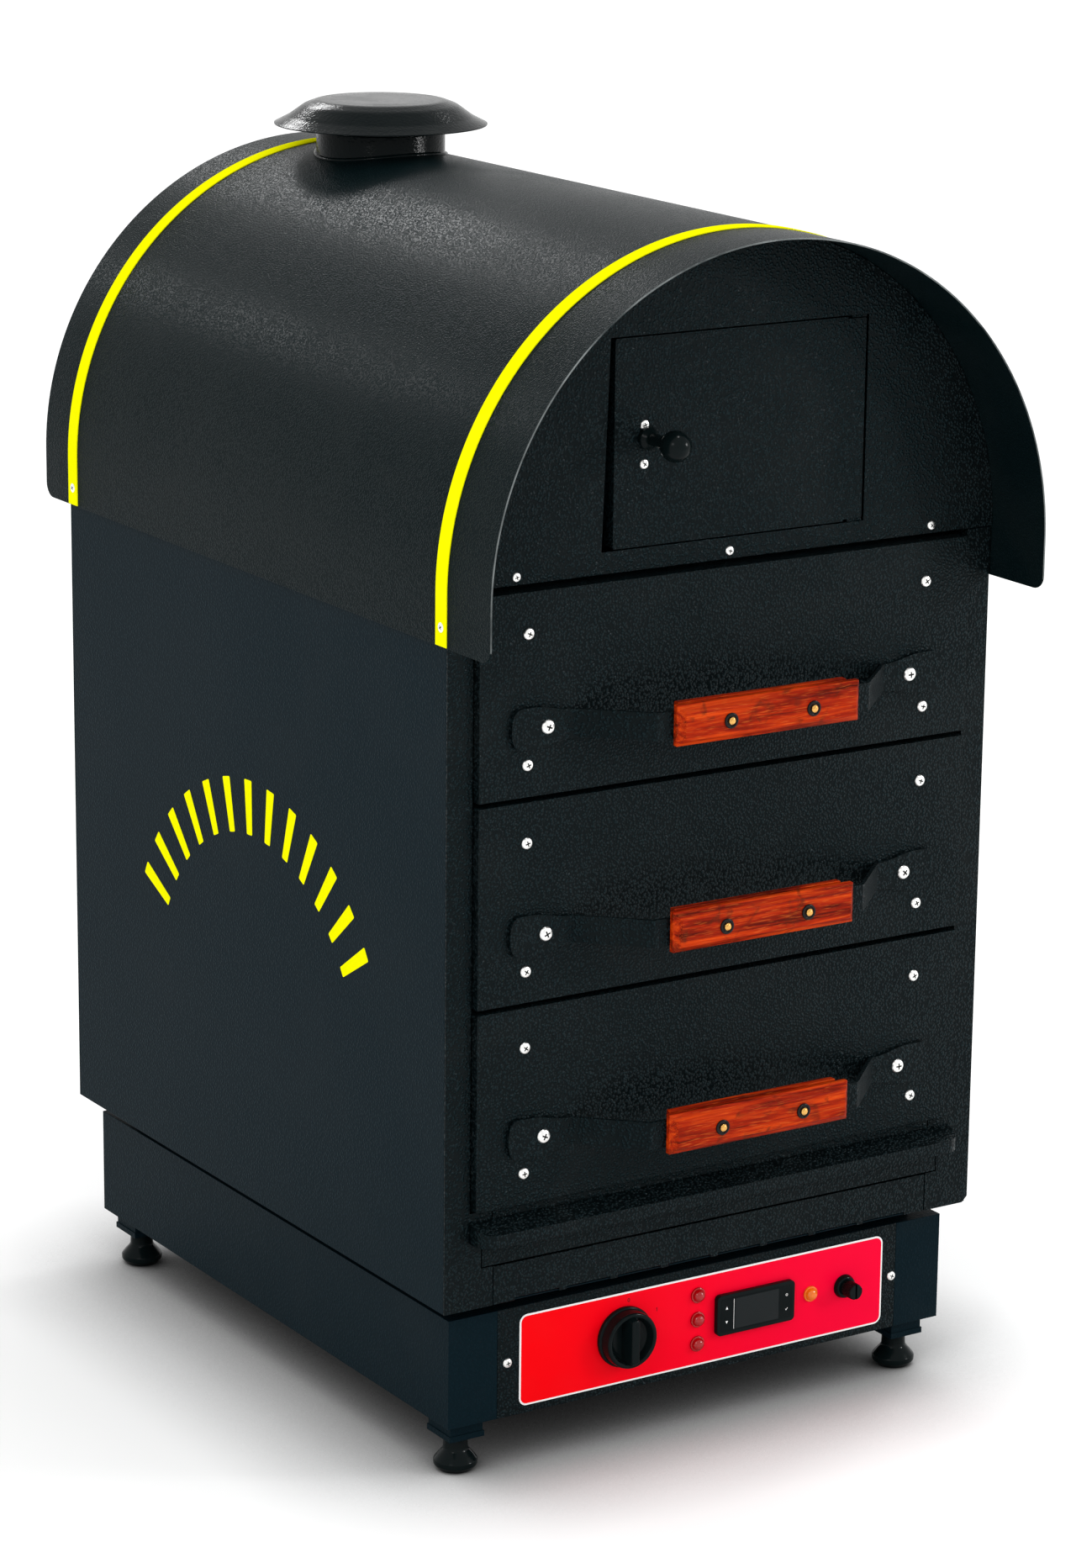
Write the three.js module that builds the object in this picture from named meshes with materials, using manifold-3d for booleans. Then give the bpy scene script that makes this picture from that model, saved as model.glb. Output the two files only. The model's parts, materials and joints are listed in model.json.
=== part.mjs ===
// Potato baking oven: three baking drawers and a crumb tray in an insulated cabinet,
// an arched warming compartment with a door above them, and an electrics base on four feet.
// Millimetres, +Z up, front towards -Y, origin on the floor under the middle of the oven.
// Inside the oven group Y = 0 is the front face of the cabinet.
import * as THREE from "three";
import { mergeVertices } from "three/addons/utils/BufferGeometryUtils.js";
import Module from "manifold-3d";

const wasm = await Module();
wasm.setup();

// Shared thicknesses and clearances
const sheet = 1.2;
const seatGap = 0.3; // left between pieces that touch
const lap = 0.6; // how far joined shapes run into each other
const overrun = 5; // how far a cut runs past what it cuts
const weldDistance = 0.0001;
const gridSteps = 1024; // corners sit on this many steps per millimetre, so shared planes meet exactly
const turnedSides = 28;
const smallSides = 16;
const boreSides = 16;
const archSegments = 36;
const cornerSegments = 4;

// Cabinet
const body = { width: 510, depth: 624, lift: 13.5, flange: 20, cornerCut: 5, cornerCutDepth: 12 };
const rearVent = { width: 42, height: 4, pitch: 60, count: 6, rowRise: 12, rows: 3, drop: 60 };

// Electrics base under the cabinet
const base = {
  clearance: 46.5,
  height: 91.5,
  sideInset: 14.6,
  frontInset: 16.8,
  rearInset: 15.5,
  flange: 22,
  tab: 16,
};
const spacerRing = { inset: 19, wall: 2 };
const footPlate = { width: 32, depth: 36, thickness: 5, riser: 11.5, riserInset: 1 };
const foot = {
  sideInset: 38.3,
  frontInset: 44.5,
  rearInset: 41.5,
  soleRadius: 13.5,
  soleRise: 4.5,
  flangeRadius: 17.8,
  flangeHeight: 8.5,
  waistRadius: 14.6,
  waistHeight: 12.5,
  domeHeight: 17.5,
  neckRadius: 10.2,
  studRadius: 5,
  studRise: 26,
  boreClearance: 0.4,
};
const gland = {
  sideInset: 70.4,
  rise: 45.5,
  hexSides: 6,
  hexRadius: 13,
  hexDepth: 7,
  domeRadius: 10,
  domeDepth: 14,
  shankRadius: 8.2,
  shankLength: 12,
  wallGap: 0.3,
  boreRadius: 5,
};

// Control panel. Control places are shares: the controller's of the panel's half width,
// the others' of the room from the controller's edge to the panel's edge.
const panel = { sideGap: 45.4, sideMargin: 17, overlayShift: 3, bottomMargin: 6.5, topMargin: 7.6 };
const overlay = { thickness: 0.8, corner: 7 };
const controls = {
  heightShare: 0.51148,
  controllerShare: 0.25744,
  amberShare: 0.17686,
  fuseShare: 0.49859,
  lampShare: 0.08079,
  selectorShare: 0.42574,
  lampPitch: 21,
};
const lamp = {
  flangeRadius: 6.6,
  flangeDepth: 1.6,
  domeRadius: 5.4,
  domeDepth: 4.6,
  domeSteps: 3,
  shankRadius: 4.4,
  shankLength: 24,
};
const controller = {
  width: 77,
  height: 35,
  corner: 4,
  proud: 5,
  caseWidth: 70,
  caseHeight: 28,
  caseDepth: 60,
  cutoutGap: 0.5,
};
const selector = {
  switchWidth: 46,
  switchDepth: 38,
  shaftRadius: 3,
  shaftReach: 12,
  boreGap: 0.4,
  skirtRadius: 25.6,
  skirtDepth: 3.5,
  faceRadius: 23.4,
  rimDepth: 14,
  edgeRound: 1.5,
  dishRadius: 18.5,
  dishDepth: 8,
  barWidth: 10,
  barLength: 42,
  barProud: 4.5,
  barTaper: 2,
};
const fuse = {
  bezelRadius: 10.4,
  bezelFrontRadius: 8.6,
  bezelDepth: 4.5,
  shankRadius: 6.2,
  shankLength: 32,
  socketRadius: 4.6,
  socketDepth: 12,
  capRadius: 7,
  capDepth: 13,
  capRound: 1,
  stemGap: 0.4,
  stemLength: 8,
  slotWidth: 1.8,
  slotDepth: 1.6,
};

// Front frame, with the rails set back behind the drawer fronts
const frame = {
  stile: 22.8,
  trayStile: 33.5,
  lowerStile: 44.2,
  railHeight: 19,
  trayRailHeight: 14,
  lowerRailHeight: 26,
};
const lowerPanel = {
  height: 32.7,
  slotBelow: 5,
  slots: { width: 41.5, height: 7.4, pitch: 48.3, count: 8 },
};

// Crumb tray
const tray = {
  gapBelow: 1,
  height: 46.2,
  gapAbove: 1.6,
  sideGap: 1,
  shoulderRise: 36.8,
  shoulderInset: 9.5,
  panSideGap: 22,
  rearGap: 50.5,
  panHeight: 20,
  lipOverhang: 11.5,
  lipReach: 20,
  lipRise: 39.4,
  lipFall: 7.6,
  lipDrop: 10.5,
  lipCorner: 13,
};

// Drawers, with heights above the lower edge of each front
const drawer = {
  height: 160.5,
  seam: 4,
  sideGap: 1.95,
  proud: 6,
  frontDepth: 24,
  backPlateInset: 2,
  boxSideGap: 21,
  boxBottom: 10,
  boxHeight: 105,
  rearGap: 32.2,
};
const handle = {
  height: 54.5,
  strip: 3,
  barHeight: 22,
  tabHeight: 33,
  tabLength: 58,
  tabCorner: 9,
  endInset: 27.25,
  slopeRun: 46,
  standOff: 44,
  tabOverlap: 12,
};
const grip = {
  endGap: 13.5,
  backEndGap: 20,
  height: 32.5,
  frontThickness: 9.7,
  backThickness: 8,
  chamfer: 5.5,
  backChamfer: 2,
};

// Oven cavity
const liner = { wallGap: 28.5, rearGap: 36, floorRise: 0.8, topDrop: 6.5, lip: 8 };
const rack = {
  thickness: 2,
  frontInset: 18.1,
  rearGap: 26.5,
  ledge: 30,
  ledgeThickness: 2,
  foot: 6,
  guideGap: 0.6,
};
const heater = {
  radius: 4,
  legs: 4,
  legPitch: 96,
  frontInset: 68.1,
  rearTurn: 90,
  tail: 14,
  floorRise: 36,
  topDrop: 17,
  boreGap: 0.5,
  halfSides: 3,
  step: 38,
};
const insulation = { frontInset: 6.1, bottomRise: 6, topDrop: 6, gap: 0.8 };

// Arched top
const hood = { fit: 2.3, frontOverhang: 66.8, rearOverhang: 38.4, skirt: 40.1, corner: 12, flueGap: 0.6 };
const arch = { flange: 15, seam: 0.6, keeperWidth: 50, keeperHeight: 40, keeperRoot: 9 };
const deck = { sideGap: 3, riser: 15, hingeNotch: 3 };
const strap = { width: 16, thickness: 1.2, rise: 0.6, frontY: 3, rearInset: 13 };
const flue = {
  rearInset: 90,
  radius: 55,
  wall: 1.5,
  rise: 16,
  outletStep: 7,
  collarWidth: 17,
  collarRise: 1.5,
  deckGap: 0.6,
};
const cap = {
  lift: 6,
  height: 20,
  overhang: 36,
  flareInset: 7,
  flareRise: 3.6,
  shoulderInset: 25,
  shoulderRise: 15.5,
  plateauInset: 36.5,
  legWidth: 14,
  legThickness: 2,
  legDepth: 18,
  legGap: 1,
  legCount: 3,
};

// Warming compartment door, hinged on its right edge. The shares are of the arch's radius.
const door = {
  leftShare: 0.42072,
  rightShare: 0.48695,
  topShare: 0.69926,
  rise: 20.5,
  depth: 13,
  gap: 2.6,
  hingeGap: 3,
  leftGapTop: 4,
  leftGapBottom: 10,
  pivotInset: 5,
  pivotY: 5,
  pinRadius: 2.5,
  pinGap: 0.4,
  pinLength: 9,
};
const hinge = { width: 14, height: 18, plate: 2.5, reach: 10 };
const knob = {
  inset: 30.5,
  heightShare: 0.51572,
  baseRadius: 9,
  baseDepth: 3,
  coneReach: 6,
  neckRadius: 5.2,
  ballRadius: 12.4,
  ballCentre: 38,
  arcSteps: 7,
};
const catchBox = { inset: 24, heightShare: 0.49057, width: 16, height: 40, depth: 11 };

// Heights, from the floor up
const drawerLevels = ["lower", "middle", "upper"];
const baseBottom = base.clearance;
const baseTop = baseBottom + base.height;
const bodyBottom = baseTop + body.lift;
const lowerPanelTop = bodyBottom + lowerPanel.height;
const trayBottom = lowerPanelTop + tray.gapBelow;
const trayShoulder = trayBottom + tray.shoulderRise;
const trayTop = trayBottom + tray.height;
const drawerBottom = trayTop + tray.gapAbove;
const drawerPitch = drawer.height + drawer.seam;
const bodyTop = drawerBottom + drawerLevels.length * drawerPitch;
const linerFloor = lowerPanelTop + liner.floorRise;
const linerTop = bodyTop - liner.topDrop;
const heaterHeights = { lower: linerFloor + heater.floorRise, upper: linerTop - heater.topDrop };

// Half widths
const bodyHalf = body.width / 2;
const baseHalf = bodyHalf - base.sideInset;
const panelHalf = baseHalf - panel.sideGap;
const openingHalf = bodyHalf - frame.stile;
const linerHalf = bodyHalf - liner.wallGap;
const drawerHalf = openingHalf - drawer.sideGap;
const boxHalf = linerHalf - sheet - drawer.boxSideGap;
const trayHalf = bodyHalf - frame.trayStile - tray.sideGap;

// Depths
const backing = sheet + seatGap; // first plane behind the front skin
const baseRear = body.depth - base.rearInset;
const railFront = drawer.frontDepth - drawer.proud + 2 * seatGap + sheet;
const railBack = railFront + sheet;
const linerFront = railBack + seatGap;
const linerRear = body.depth - liner.rearGap;
const innerRear = linerRear - sheet;
const cabinetMiddle = (body.depth + hood.rearOverhang - hood.frontOverhang) / 2;

// Arched top, flue and cap
const hoodInner = bodyHalf + hood.fit;
const hoodOuter = hoodInner + sheet;
const hoodBottom = bodyTop - hood.skirt;
const archRadius = hoodInner - seatGap;
const flueY = body.depth - flue.rearInset;
const flueTop = bodyTop + hoodOuter + flue.rise;
const capRim = flueTop + cap.lift;
const capTop = capRim + cap.height;
const capRadii = {
  rim: flue.radius + cap.overhang,
  flare: flue.radius + cap.overhang - cap.flareInset,
  shoulder: flue.radius + cap.overhang - cap.shoulderInset,
  plateau: flue.radius + cap.overhang - cap.plateauInset,
};
const doorLeft = -door.leftShare * archRadius;
const doorRight = door.rightShare * archRadius;
const doorBottom = bodyTop + door.rise;
const doorTop = bodyTop + door.topShare * archRadius;
const pivotX = doorRight - door.pivotInset;
const catchX = doorLeft + catchBox.inset;
const catchZ = doorBottom + catchBox.heightShare * (doorTop - doorBottom);
const knobX = doorLeft + knob.inset;
const knobZ = doorBottom + knob.heightShare * (doorTop - doorBottom);

// Places of the controls on the panel
const controlsZ = baseBottom + controls.heightShare * base.height;
const controllerX = controls.controllerShare * panelHalf;
const controllerEdges = [controllerX - controller.width / 2, controllerX + controller.width / 2];
const roomLeft = controllerEdges[0] + panelHalf;
const roomRight = panelHalf - controllerEdges[1];
const lampX = controllerEdges[0] - controls.lampShare * roomLeft;
const selectorX = controllerEdges[0] - controls.selectorShare * roomLeft;
const amberX = controllerEdges[1] + controls.amberShare * roomRight;
const fuseX = controllerEdges[1] + controls.fuseShare * roomRight;
const glandPlace = [gland.sideInset - baseHalf, baseBottom + gland.rise];

// Axis frames for outlines and turned profiles
const unitX = new THREE.Vector3(1, 0, 0);
const unitY = new THREE.Vector3(0, 1, 0);
const unitZ = new THREE.Vector3(0, 0, 1);
const frontView = new THREE.Matrix4().makeBasis(unitX, unitZ, unitY.clone().negate());
const sideView = new THREE.Matrix4().makeBasis(unitY, unitZ, unitX);

function manifoldOf(positions, corners) {
  return new wasm.Manifold(
    new wasm.Mesh({ numProp: 3, vertProperties: positions, triVerts: new Uint32Array(corners) }),
  );
}

// Closed solid of a geometry, with its faces turned outwards
function solidFrom(geometry) {
  geometry.deleteAttribute("normal");
  geometry.deleteAttribute("uv");
  const { array } = geometry.attributes.position;
  array.forEach((value, i) => {
    array[i] = Math.round(value * gridSteps) / gridSteps;
  });
  const merged = mergeVertices(geometry, weldDistance);
  const corners = merged.index.array;
  const kept = [];
  for (let i = 0; i < corners.length; i += 3) {
    const [a, b, c] = [corners[i], corners[i + 1], corners[i + 2]];
    if (a !== b && b !== c && c !== a) kept.push(a, b, c);
  }
  const solid = manifoldOf(merged.attributes.position.array, kept);
  return solid.volume() < 0 ? manifoldOf(merged.attributes.position.array, kept.reverse()) : solid;
}

const join = (...solids) => solids.flat().reduce((whole, solid) => whole.add(solid));
const cut = (solid, ...cutters) => cutters.flat().reduce((rest, cutter) => rest.subtract(cutter), solid);
const span = (a, b) => [Math.min(a, b), Math.max(a, b)];
const middle = ([from, to]) => (from + to) / 2;
const grown = ([from, to], by) => [from - by, to + by];

function block(x, y, z) {
  const geometry = new THREE.BoxGeometry(x[1] - x[0], y[1] - y[0], z[1] - z[0]);
  return solidFrom(geometry.translate(middle(x), middle(y), middle(z)));
}

function extruded(outline, depth) {
  return new THREE.ExtrudeGeometry(outline, { depth, bevelEnabled: false, curveSegments: cornerSegments });
}

// Outline drawn in X and Z, extruded along Y
function frontPrism(outline, y) {
  return solidFrom(extruded(outline, y[1] - y[0]).applyMatrix4(frontView).translate(0, y[1], 0));
}

// Outline drawn in Y and Z, extruded along X
function sidePrism(outline, x) {
  return solidFrom(extruded(outline, x[1] - x[0]).applyMatrix4(sideView).translate(x[0], 0, 0));
}

// Outline drawn in X and Y, extruded along Z
function planPrism(outline, z) {
  return solidFrom(extruded(outline, z[1] - z[0]).translate(0, 0, z[0]));
}

function uprightRod(radius, [x, y], z, sides = boreSides) {
  const geometry = new THREE.CylinderGeometry(radius, radius, z[1] - z[0], sides);
  return solidFrom(geometry.rotateX(Math.PI / 2).translate(x, y, middle(z)));
}

function levelRod(radius, [x, z], y, sides = boreSides) {
  const geometry = new THREE.CylinderGeometry(radius, radius, y[1] - y[0], sides);
  return solidFrom(geometry.translate(x, middle(y), z));
}

// Profile of [radius, height] pairs turned about the vertical axis
function turned(profile, sides = turnedSides) {
  const points = profile.map(([radius, height]) => new THREE.Vector2(radius, height));
  return solidFrom(new THREE.LatheGeometry(points, sides).rotateX(Math.PI / 2));
}

// Profile of [radius, reach] pairs turned about the front-to-back axis, reaching towards the front
function turnedForward(profile, sides = turnedSides) {
  const points = profile.map(([radius, reach]) => new THREE.Vector2(radius, reach));
  return solidFrom(new THREE.LatheGeometry(points, sides).rotateX(Math.PI));
}

function polygon(points) {
  return new THREE.Shape(points.map(([a, b]) => new THREE.Vector2(a, b)));
}

function roundedOutline([left, right], [low, high], radius) {
  const shape = new THREE.Shape();
  shape.moveTo(left + radius, low);
  shape.lineTo(right - radius, low);
  shape.absarc(right - radius, low + radius, radius, -Math.PI / 2, 0);
  shape.absarc(right - radius, high - radius, radius, 0, Math.PI / 2);
  shape.absarc(left + radius, high - radius, radius, Math.PI / 2, Math.PI);
  shape.absarc(left + radius, low + radius, radius, Math.PI, 1.5 * Math.PI);
  return shape;
}

// Arch: a half circle on straight legs that end at the given height
function archPoints(radius, legEnd) {
  const points = [[radius, legEnd]];
  for (let i = 0; i <= archSegments; i += 1) {
    const angle = (Math.PI * i) / archSegments;
    points.push([radius * Math.cos(angle), bodyTop + radius * Math.sin(angle)]);
  }
  points.push([-radius, legEnd]);
  return points;
}

function archBand(outer, inner, legEnd, y) {
  return frontPrism(polygon([...archPoints(outer, legEnd), ...archPoints(inner, legEnd).reverse()]), y);
}

// Scene graph
const potatoOven = new THREE.Group();
const oven = new THREE.Group();
oven.position.y = -cabinetMiddle;
potatoOven.add(oven);

const finishes = {
  blackTexture: { color: 0x15191a, roughness: 0.42, metalness: 0.2 },
  sidePaint: { color: 0x23292d, roughness: 0.5, metalness: 0.2 },
  hoodPaint: { color: 0x1f2527, roughness: 0.4, metalness: 0.2 },
  glossBlack: { color: 0x0b0c0c, roughness: 0.15, metalness: 0.2 },
  yellowStrip: { color: 0xf5f30a, roughness: 0.45, metalness: 0 },
  redFascia: { color: 0xfa051e, roughness: 0.35, metalness: 0 },
  redLens: { color: 0xc00812, roughness: 0.1, metalness: 0 },
  amberLens: { color: 0xff6a00, roughness: 0.1, metalness: 0 },
  blackPlastic: { color: 0x0d0e0f, roughness: 0.35, metalness: 0 },
  hardwood: { color: 0xb4430f, roughness: 0.35, metalness: 0 },
  stainless: { color: 0xb9bcbe, roughness: 0.32, metalness: 1 },
  galvanised: { color: 0x9aa0a3, roughness: 0.5, metalness: 0.9 },
  elementSheath: { color: 0x4a4038, roughness: 0.55, metalness: 0.7 },
  mineralWool: { color: 0xc7b77a, roughness: 1, metalness: 0 },
};

function place(name, solid, finish, parent = oven) {
  const { vertProperties, triVerts } = solid.getMesh();
  const geometry = new THREE.BufferGeometry();
  geometry.setAttribute("position", new THREE.BufferAttribute(vertProperties, 3));
  geometry.setIndex(new THREE.BufferAttribute(triVerts, 1));
  geometry.computeVertexNormals();
  const mesh = new THREE.Mesh(geometry, new THREE.MeshStandardMaterial(finishes[finish]));
  mesh.name = name;
  parent.add(mesh);
  return mesh;
}

const footPlaces = {
  front_left: [-(bodyHalf - foot.sideInset), foot.frontInset],
  front_right: [bodyHalf - foot.sideInset, foot.frontInset],
  rear_left: [-(bodyHalf - foot.sideInset), body.depth - foot.rearInset],
  rear_right: [bodyHalf - foot.sideInset, body.depth - foot.rearInset],
};

// Slots in a row along X, cut through a wall that lies across Y
function ventRow({ width, height, pitch, count }, z, y) {
  return Array.from({ length: count }, (_, i) => {
    const x = (i - (count - 1) / 2) * pitch;
    return block([x - width / 2, x + width / 2], y, [z, z + height]);
  });
}

const plateBottom = baseBottom - footPlate.riser - footPlate.thickness;

function baseShell() {
  const x = [-baseHalf, baseHalf];
  const y = [base.frontInset, baseRear];
  const plateTop = baseBottom - footPlate.riser;
  const shell = cut(
    block(x, y, [baseBottom, baseTop]),
    block(grown(x, -sheet), grown(y, -sheet), [baseBottom + sheet, baseTop - sheet]),
    block(grown(x, -base.flange), grown(y, -base.flange), [baseTop - 2 * sheet, baseTop + overrun]),
    block(
      [-panelHalf - seatGap, panelHalf + seatGap],
      [base.frontInset - overrun, base.frontInset + sheet],
      [baseBottom - overrun, baseTop + overrun],
    ),
  );
  const tabs = [-1, 1].map((side) =>
    block(
      span(side * (panelHalf - base.tab), side * (baseHalf - sheet / 2)),
      [base.frontInset + sheet, base.frontInset + 2 * sheet],
      [baseBottom + sheet / 2, baseTop - sheet / 2],
    ),
  );
  const plates = Object.values(footPlaces).map(([px, py]) => {
    const plateX = [px - footPlate.width / 2, px + footPlate.width / 2];
    const plateY = [py - footPlate.depth / 2, py + footPlate.depth / 2];
    const riserX = grown(plateX, -footPlate.riserInset);
    const riserY = grown(plateY, -footPlate.riserInset);
    return join(
      block(plateX, plateY, [plateBottom, plateTop]),
      block(riserX, riserY, [plateTop - footPlate.thickness / 2, baseBottom + sheet / 2]),
    );
  });
  const studBore = foot.studRadius + foot.boreClearance;
  const floor = [plateBottom - overrun, baseBottom + sheet + overrun];
  const bores = Object.values(footPlaces).map((at) => uprightRod(studBore, at, floor));
  const rearWall = [baseRear - sheet - overrun, baseRear + overrun];
  const vents = ventRow(rearVent, baseBottom + base.flange, rearWall);
  const glandBore = levelRod(gland.shankRadius + gland.wallGap, glandPlace, rearWall);
  return cut(join(shell, tabs, plates), bores, vents, glandBore);
}

const lampHeights = {
  upper: controlsZ + controls.lampPitch,
  middle: controlsZ,
  lower: controlsZ - controls.lampPitch,
};

// Cutters for every control that passes through the panel and its overlay
function controlCutters(y) {
  const lampBore = (x, z) => levelRod(lamp.shankRadius + seatGap, [x, z], y);
  return [
    ...Object.values(lampHeights).map((z) => lampBore(lampX, z)),
    lampBore(amberX, controlsZ),
    levelRod(selector.shaftRadius + selector.boreGap, [selectorX, controlsZ], y),
    levelRod(fuse.shankRadius + seatGap, [fuseX, controlsZ], y),
    block(
      [
        controllerX - controller.caseWidth / 2 - controller.cutoutGap,
        controllerX + controller.caseWidth / 2 + controller.cutoutGap,
      ],
      y,
      [
        controlsZ - controller.caseHeight / 2 - controller.cutoutGap,
        controlsZ + controller.caseHeight / 2 + controller.cutoutGap,
      ],
    ),
  ];
}

const panelFace = base.frontInset;
const panelBack = base.frontInset + sheet - seatGap;
const overlayFace = panelFace - seatGap - overlay.thickness;

function controlPanel() {
  const plate = block([-panelHalf, panelHalf], [panelFace, panelBack], [baseBottom, baseTop]);
  return cut(plate, controlCutters([panelFace - overrun, panelBack + overrun]));
}

function panelOverlay() {
  const half = panelHalf - panel.sideMargin;
  const x = [panel.overlayShift - half, panel.overlayShift + half];
  const z = [baseBottom + panel.bottomMargin, baseTop - panel.topMargin];
  const y = [overlayFace, panelFace - seatGap];
  return cut(frontPrism(roundedOutline(x, z, overlay.corner), y), controlCutters(grown(y, overrun)));
}

function controllerUnit() {
  const x = [controllerX - controller.width / 2, controllerX + controller.width / 2];
  const z = [controlsZ - controller.height / 2, controlsZ + controller.height / 2];
  const bezelBack = overlayFace - seatGap;
  const outline = roundedOutline(x, z, controller.corner);
  const bezel = frontPrism(outline, [bezelBack - controller.proud, bezelBack]);
  const casing = block(
    [controllerX - controller.caseWidth / 2, controllerX + controller.caseWidth / 2],
    [bezelBack - lap, bezelBack + controller.caseDepth],
    [controlsZ - controller.caseHeight / 2, controlsZ + controller.caseHeight / 2],
  );
  return join(bezel, casing);
}

// Pilot lamp, with its flange back at local zero
function pilotLamp() {
  const dome = [];
  for (let i = 0; i <= lamp.domeSteps; i += 1) {
    const angle = (Math.PI / 2) * (i / lamp.domeSteps);
    dome.push([lamp.domeRadius * Math.cos(angle), lamp.flangeDepth + lamp.domeDepth * Math.sin(angle)]);
  }
  dome[lamp.domeSteps][0] = 0;
  return turnedForward(
    [
      [0, -lamp.shankLength],
      [lamp.shankRadius, -lamp.shankLength],
      [lamp.shankRadius, 0],
      [lamp.flangeRadius, 0],
      [lamp.flangeRadius, lamp.flangeDepth],
      ...dome,
    ],
    boreSides,
  );
}

function selectorSwitch() {
  const half = selector.switchWidth / 2;
  const y = [panelBack + seatGap, panelBack + seatGap + selector.switchDepth];
  const casing = block([-half, half], y, [-half, half]);
  const shaft = levelRod(selector.shaftRadius, [0, 0], [overlayFace - selector.shaftReach, y[0] + lap]);
  return join(casing, shaft);
}

// Rotary knob about its own axis, with its back at local zero
function selectorKnob() {
  const round = selector.edgeRound;
  const frontReach = selector.rimDepth;
  const drum = turnedForward([
    [0, 0],
    [selector.skirtRadius, 0],
    [selector.skirtRadius, selector.skirtDepth - round],
    [selector.skirtRadius - round, selector.skirtDepth],
    [selector.faceRadius + round, selector.skirtDepth],
    [selector.faceRadius, frontReach - round],
    [selector.faceRadius - round, frontReach],
    [0, frontReach],
  ]);
  const dish = levelRod(
    selector.dishRadius,
    [0, 0],
    [-frontReach - overrun, selector.dishDepth - frontReach],
    turnedSides,
  );
  const halfBar = selector.barWidth / 2;
  const barFront = frontReach + selector.barProud;
  const barOutline = polygon([
    [-halfBar, 0],
    [halfBar, 0],
    [halfBar - selector.barTaper, barFront],
    [-(halfBar - selector.barTaper), barFront],
  ]);
  const bar = extruded(barOutline, selector.barLength).rotateX(Math.PI);
  const ridge = cut(
    solidFrom(bar.translate(0, 0, selector.barLength / 2)),
    block([-halfBar, halfBar], [-lap, overrun], [-selector.barLength, selector.barLength]),
  );
  const bore = levelRod(selector.shaftRadius + selector.boreGap, [0, 0], [-selector.shaftReach, overrun]);
  return cut(join(cut(drum, dish), ridge), bore);
}

// Fuse holder about its own axis, with its bezel back at local zero
function fuseHolder() {
  const holder = turnedForward(
    [
      [0, -fuse.shankLength],
      [fuse.shankRadius, -fuse.shankLength],
      [fuse.shankRadius, 0],
      [fuse.bezelRadius, 0],
      [fuse.bezelRadius, fuse.bezelDepth / 2],
      [fuse.bezelFrontRadius, fuse.bezelDepth],
      [0, fuse.bezelDepth],
    ],
    smallSides,
  );
  const socket = [-fuse.bezelDepth - overrun, fuse.socketDepth - fuse.bezelDepth];
  return cut(holder, levelRod(fuse.socketRadius, [0, 0], socket));
}

// Fuse cap about the same axis, with its back at local zero
function fuseCap() {
  const stemRadius = fuse.socketRadius - fuse.stemGap;
  const shape = turnedForward(
    [
      [0, -fuse.stemLength],
      [stemRadius, -fuse.stemLength],
      [stemRadius, 0],
      [fuse.capRadius, 0],
      [fuse.capRadius, fuse.capDepth - fuse.capRound],
      [fuse.capRadius - fuse.capRound, fuse.capDepth],
      [0, fuse.capDepth],
    ],
    smallSides,
  );
  const slot = block(
    [-fuse.slotWidth / 2, fuse.slotWidth / 2],
    [-fuse.capDepth - overrun, fuse.slotDepth - fuse.capDepth],
    [-fuse.capRadius - overrun, fuse.capRadius + overrun],
  );
  return cut(shape, slot);
}

function levellingFoot() {
  const neckTop = plateBottom - seatGap;
  return turned(
    [
      [0, 0],
      [foot.soleRadius, 0],
      [foot.flangeRadius, foot.soleRise],
      [foot.flangeRadius, foot.flangeHeight],
      [foot.waistRadius, foot.waistHeight],
      [foot.neckRadius, foot.domeHeight],
      [foot.neckRadius, neckTop],
      [foot.studRadius, neckTop],
      [foot.studRadius, neckTop + foot.studRise],
      [0, neckTop + foot.studRise],
    ],
    smallSides,
  );
}

function cableGland() {
  const seat = baseRear + seatGap;
  const hexEnd = seat + gland.hexDepth;
  const domeEnd = hexEnd + gland.domeDepth;
  const shankStart = baseRear - sheet - gland.shankLength;
  const hex = levelRod(gland.hexRadius, [0, 0], [seat, hexEnd], gland.hexSides);
  const dome = levelRod(gland.domeRadius, [0, 0], [seat, domeEnd]);
  const shank = levelRod(gland.shankRadius, [0, 0], [shankStart, hexEnd]);
  const bore = levelRod(gland.boreRadius, [0, 0], grown([shankStart, domeEnd], overrun));
  return cut(join(hex, dome, shank), bore);
}

// Cabinet floor on a closed ring that stands on the base
function bodyFloor() {
  const half = bodyHalf - sheet - seatGap;
  const y = [backing, body.depth - backing];
  const plate = block([-half, half], y, [bodyBottom, bodyBottom + sheet]);
  const ringX = [-(baseHalf - spacerRing.inset), baseHalf - spacerRing.inset];
  const ringY = [base.frontInset + spacerRing.inset, baseRear - spacerRing.inset];
  const ringZ = [baseTop + seatGap, bodyBottom + lap];
  const ring = cut(
    block(ringX, ringY, ringZ),
    block(grown(ringX, -spacerRing.wall), grown(ringY, -spacerRing.wall), grown(ringZ, overrun)),
  );
  return join(plate, ring);
}

// Corner cut off the foot of the right front edge
function cornerCutter() {
  const reach = body.cornerCut;
  const outline = polygon([
    [bodyHalf - reach, bodyBottom],
    [bodyHalf - reach, bodyBottom - overrun],
    [bodyHalf + overrun, bodyBottom - overrun],
    [bodyHalf + overrun, bodyBottom + reach],
    [bodyHalf, bodyBottom + reach],
  ]);
  return frontPrism(outline, [-overrun, body.cornerCutDepth]);
}

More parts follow.
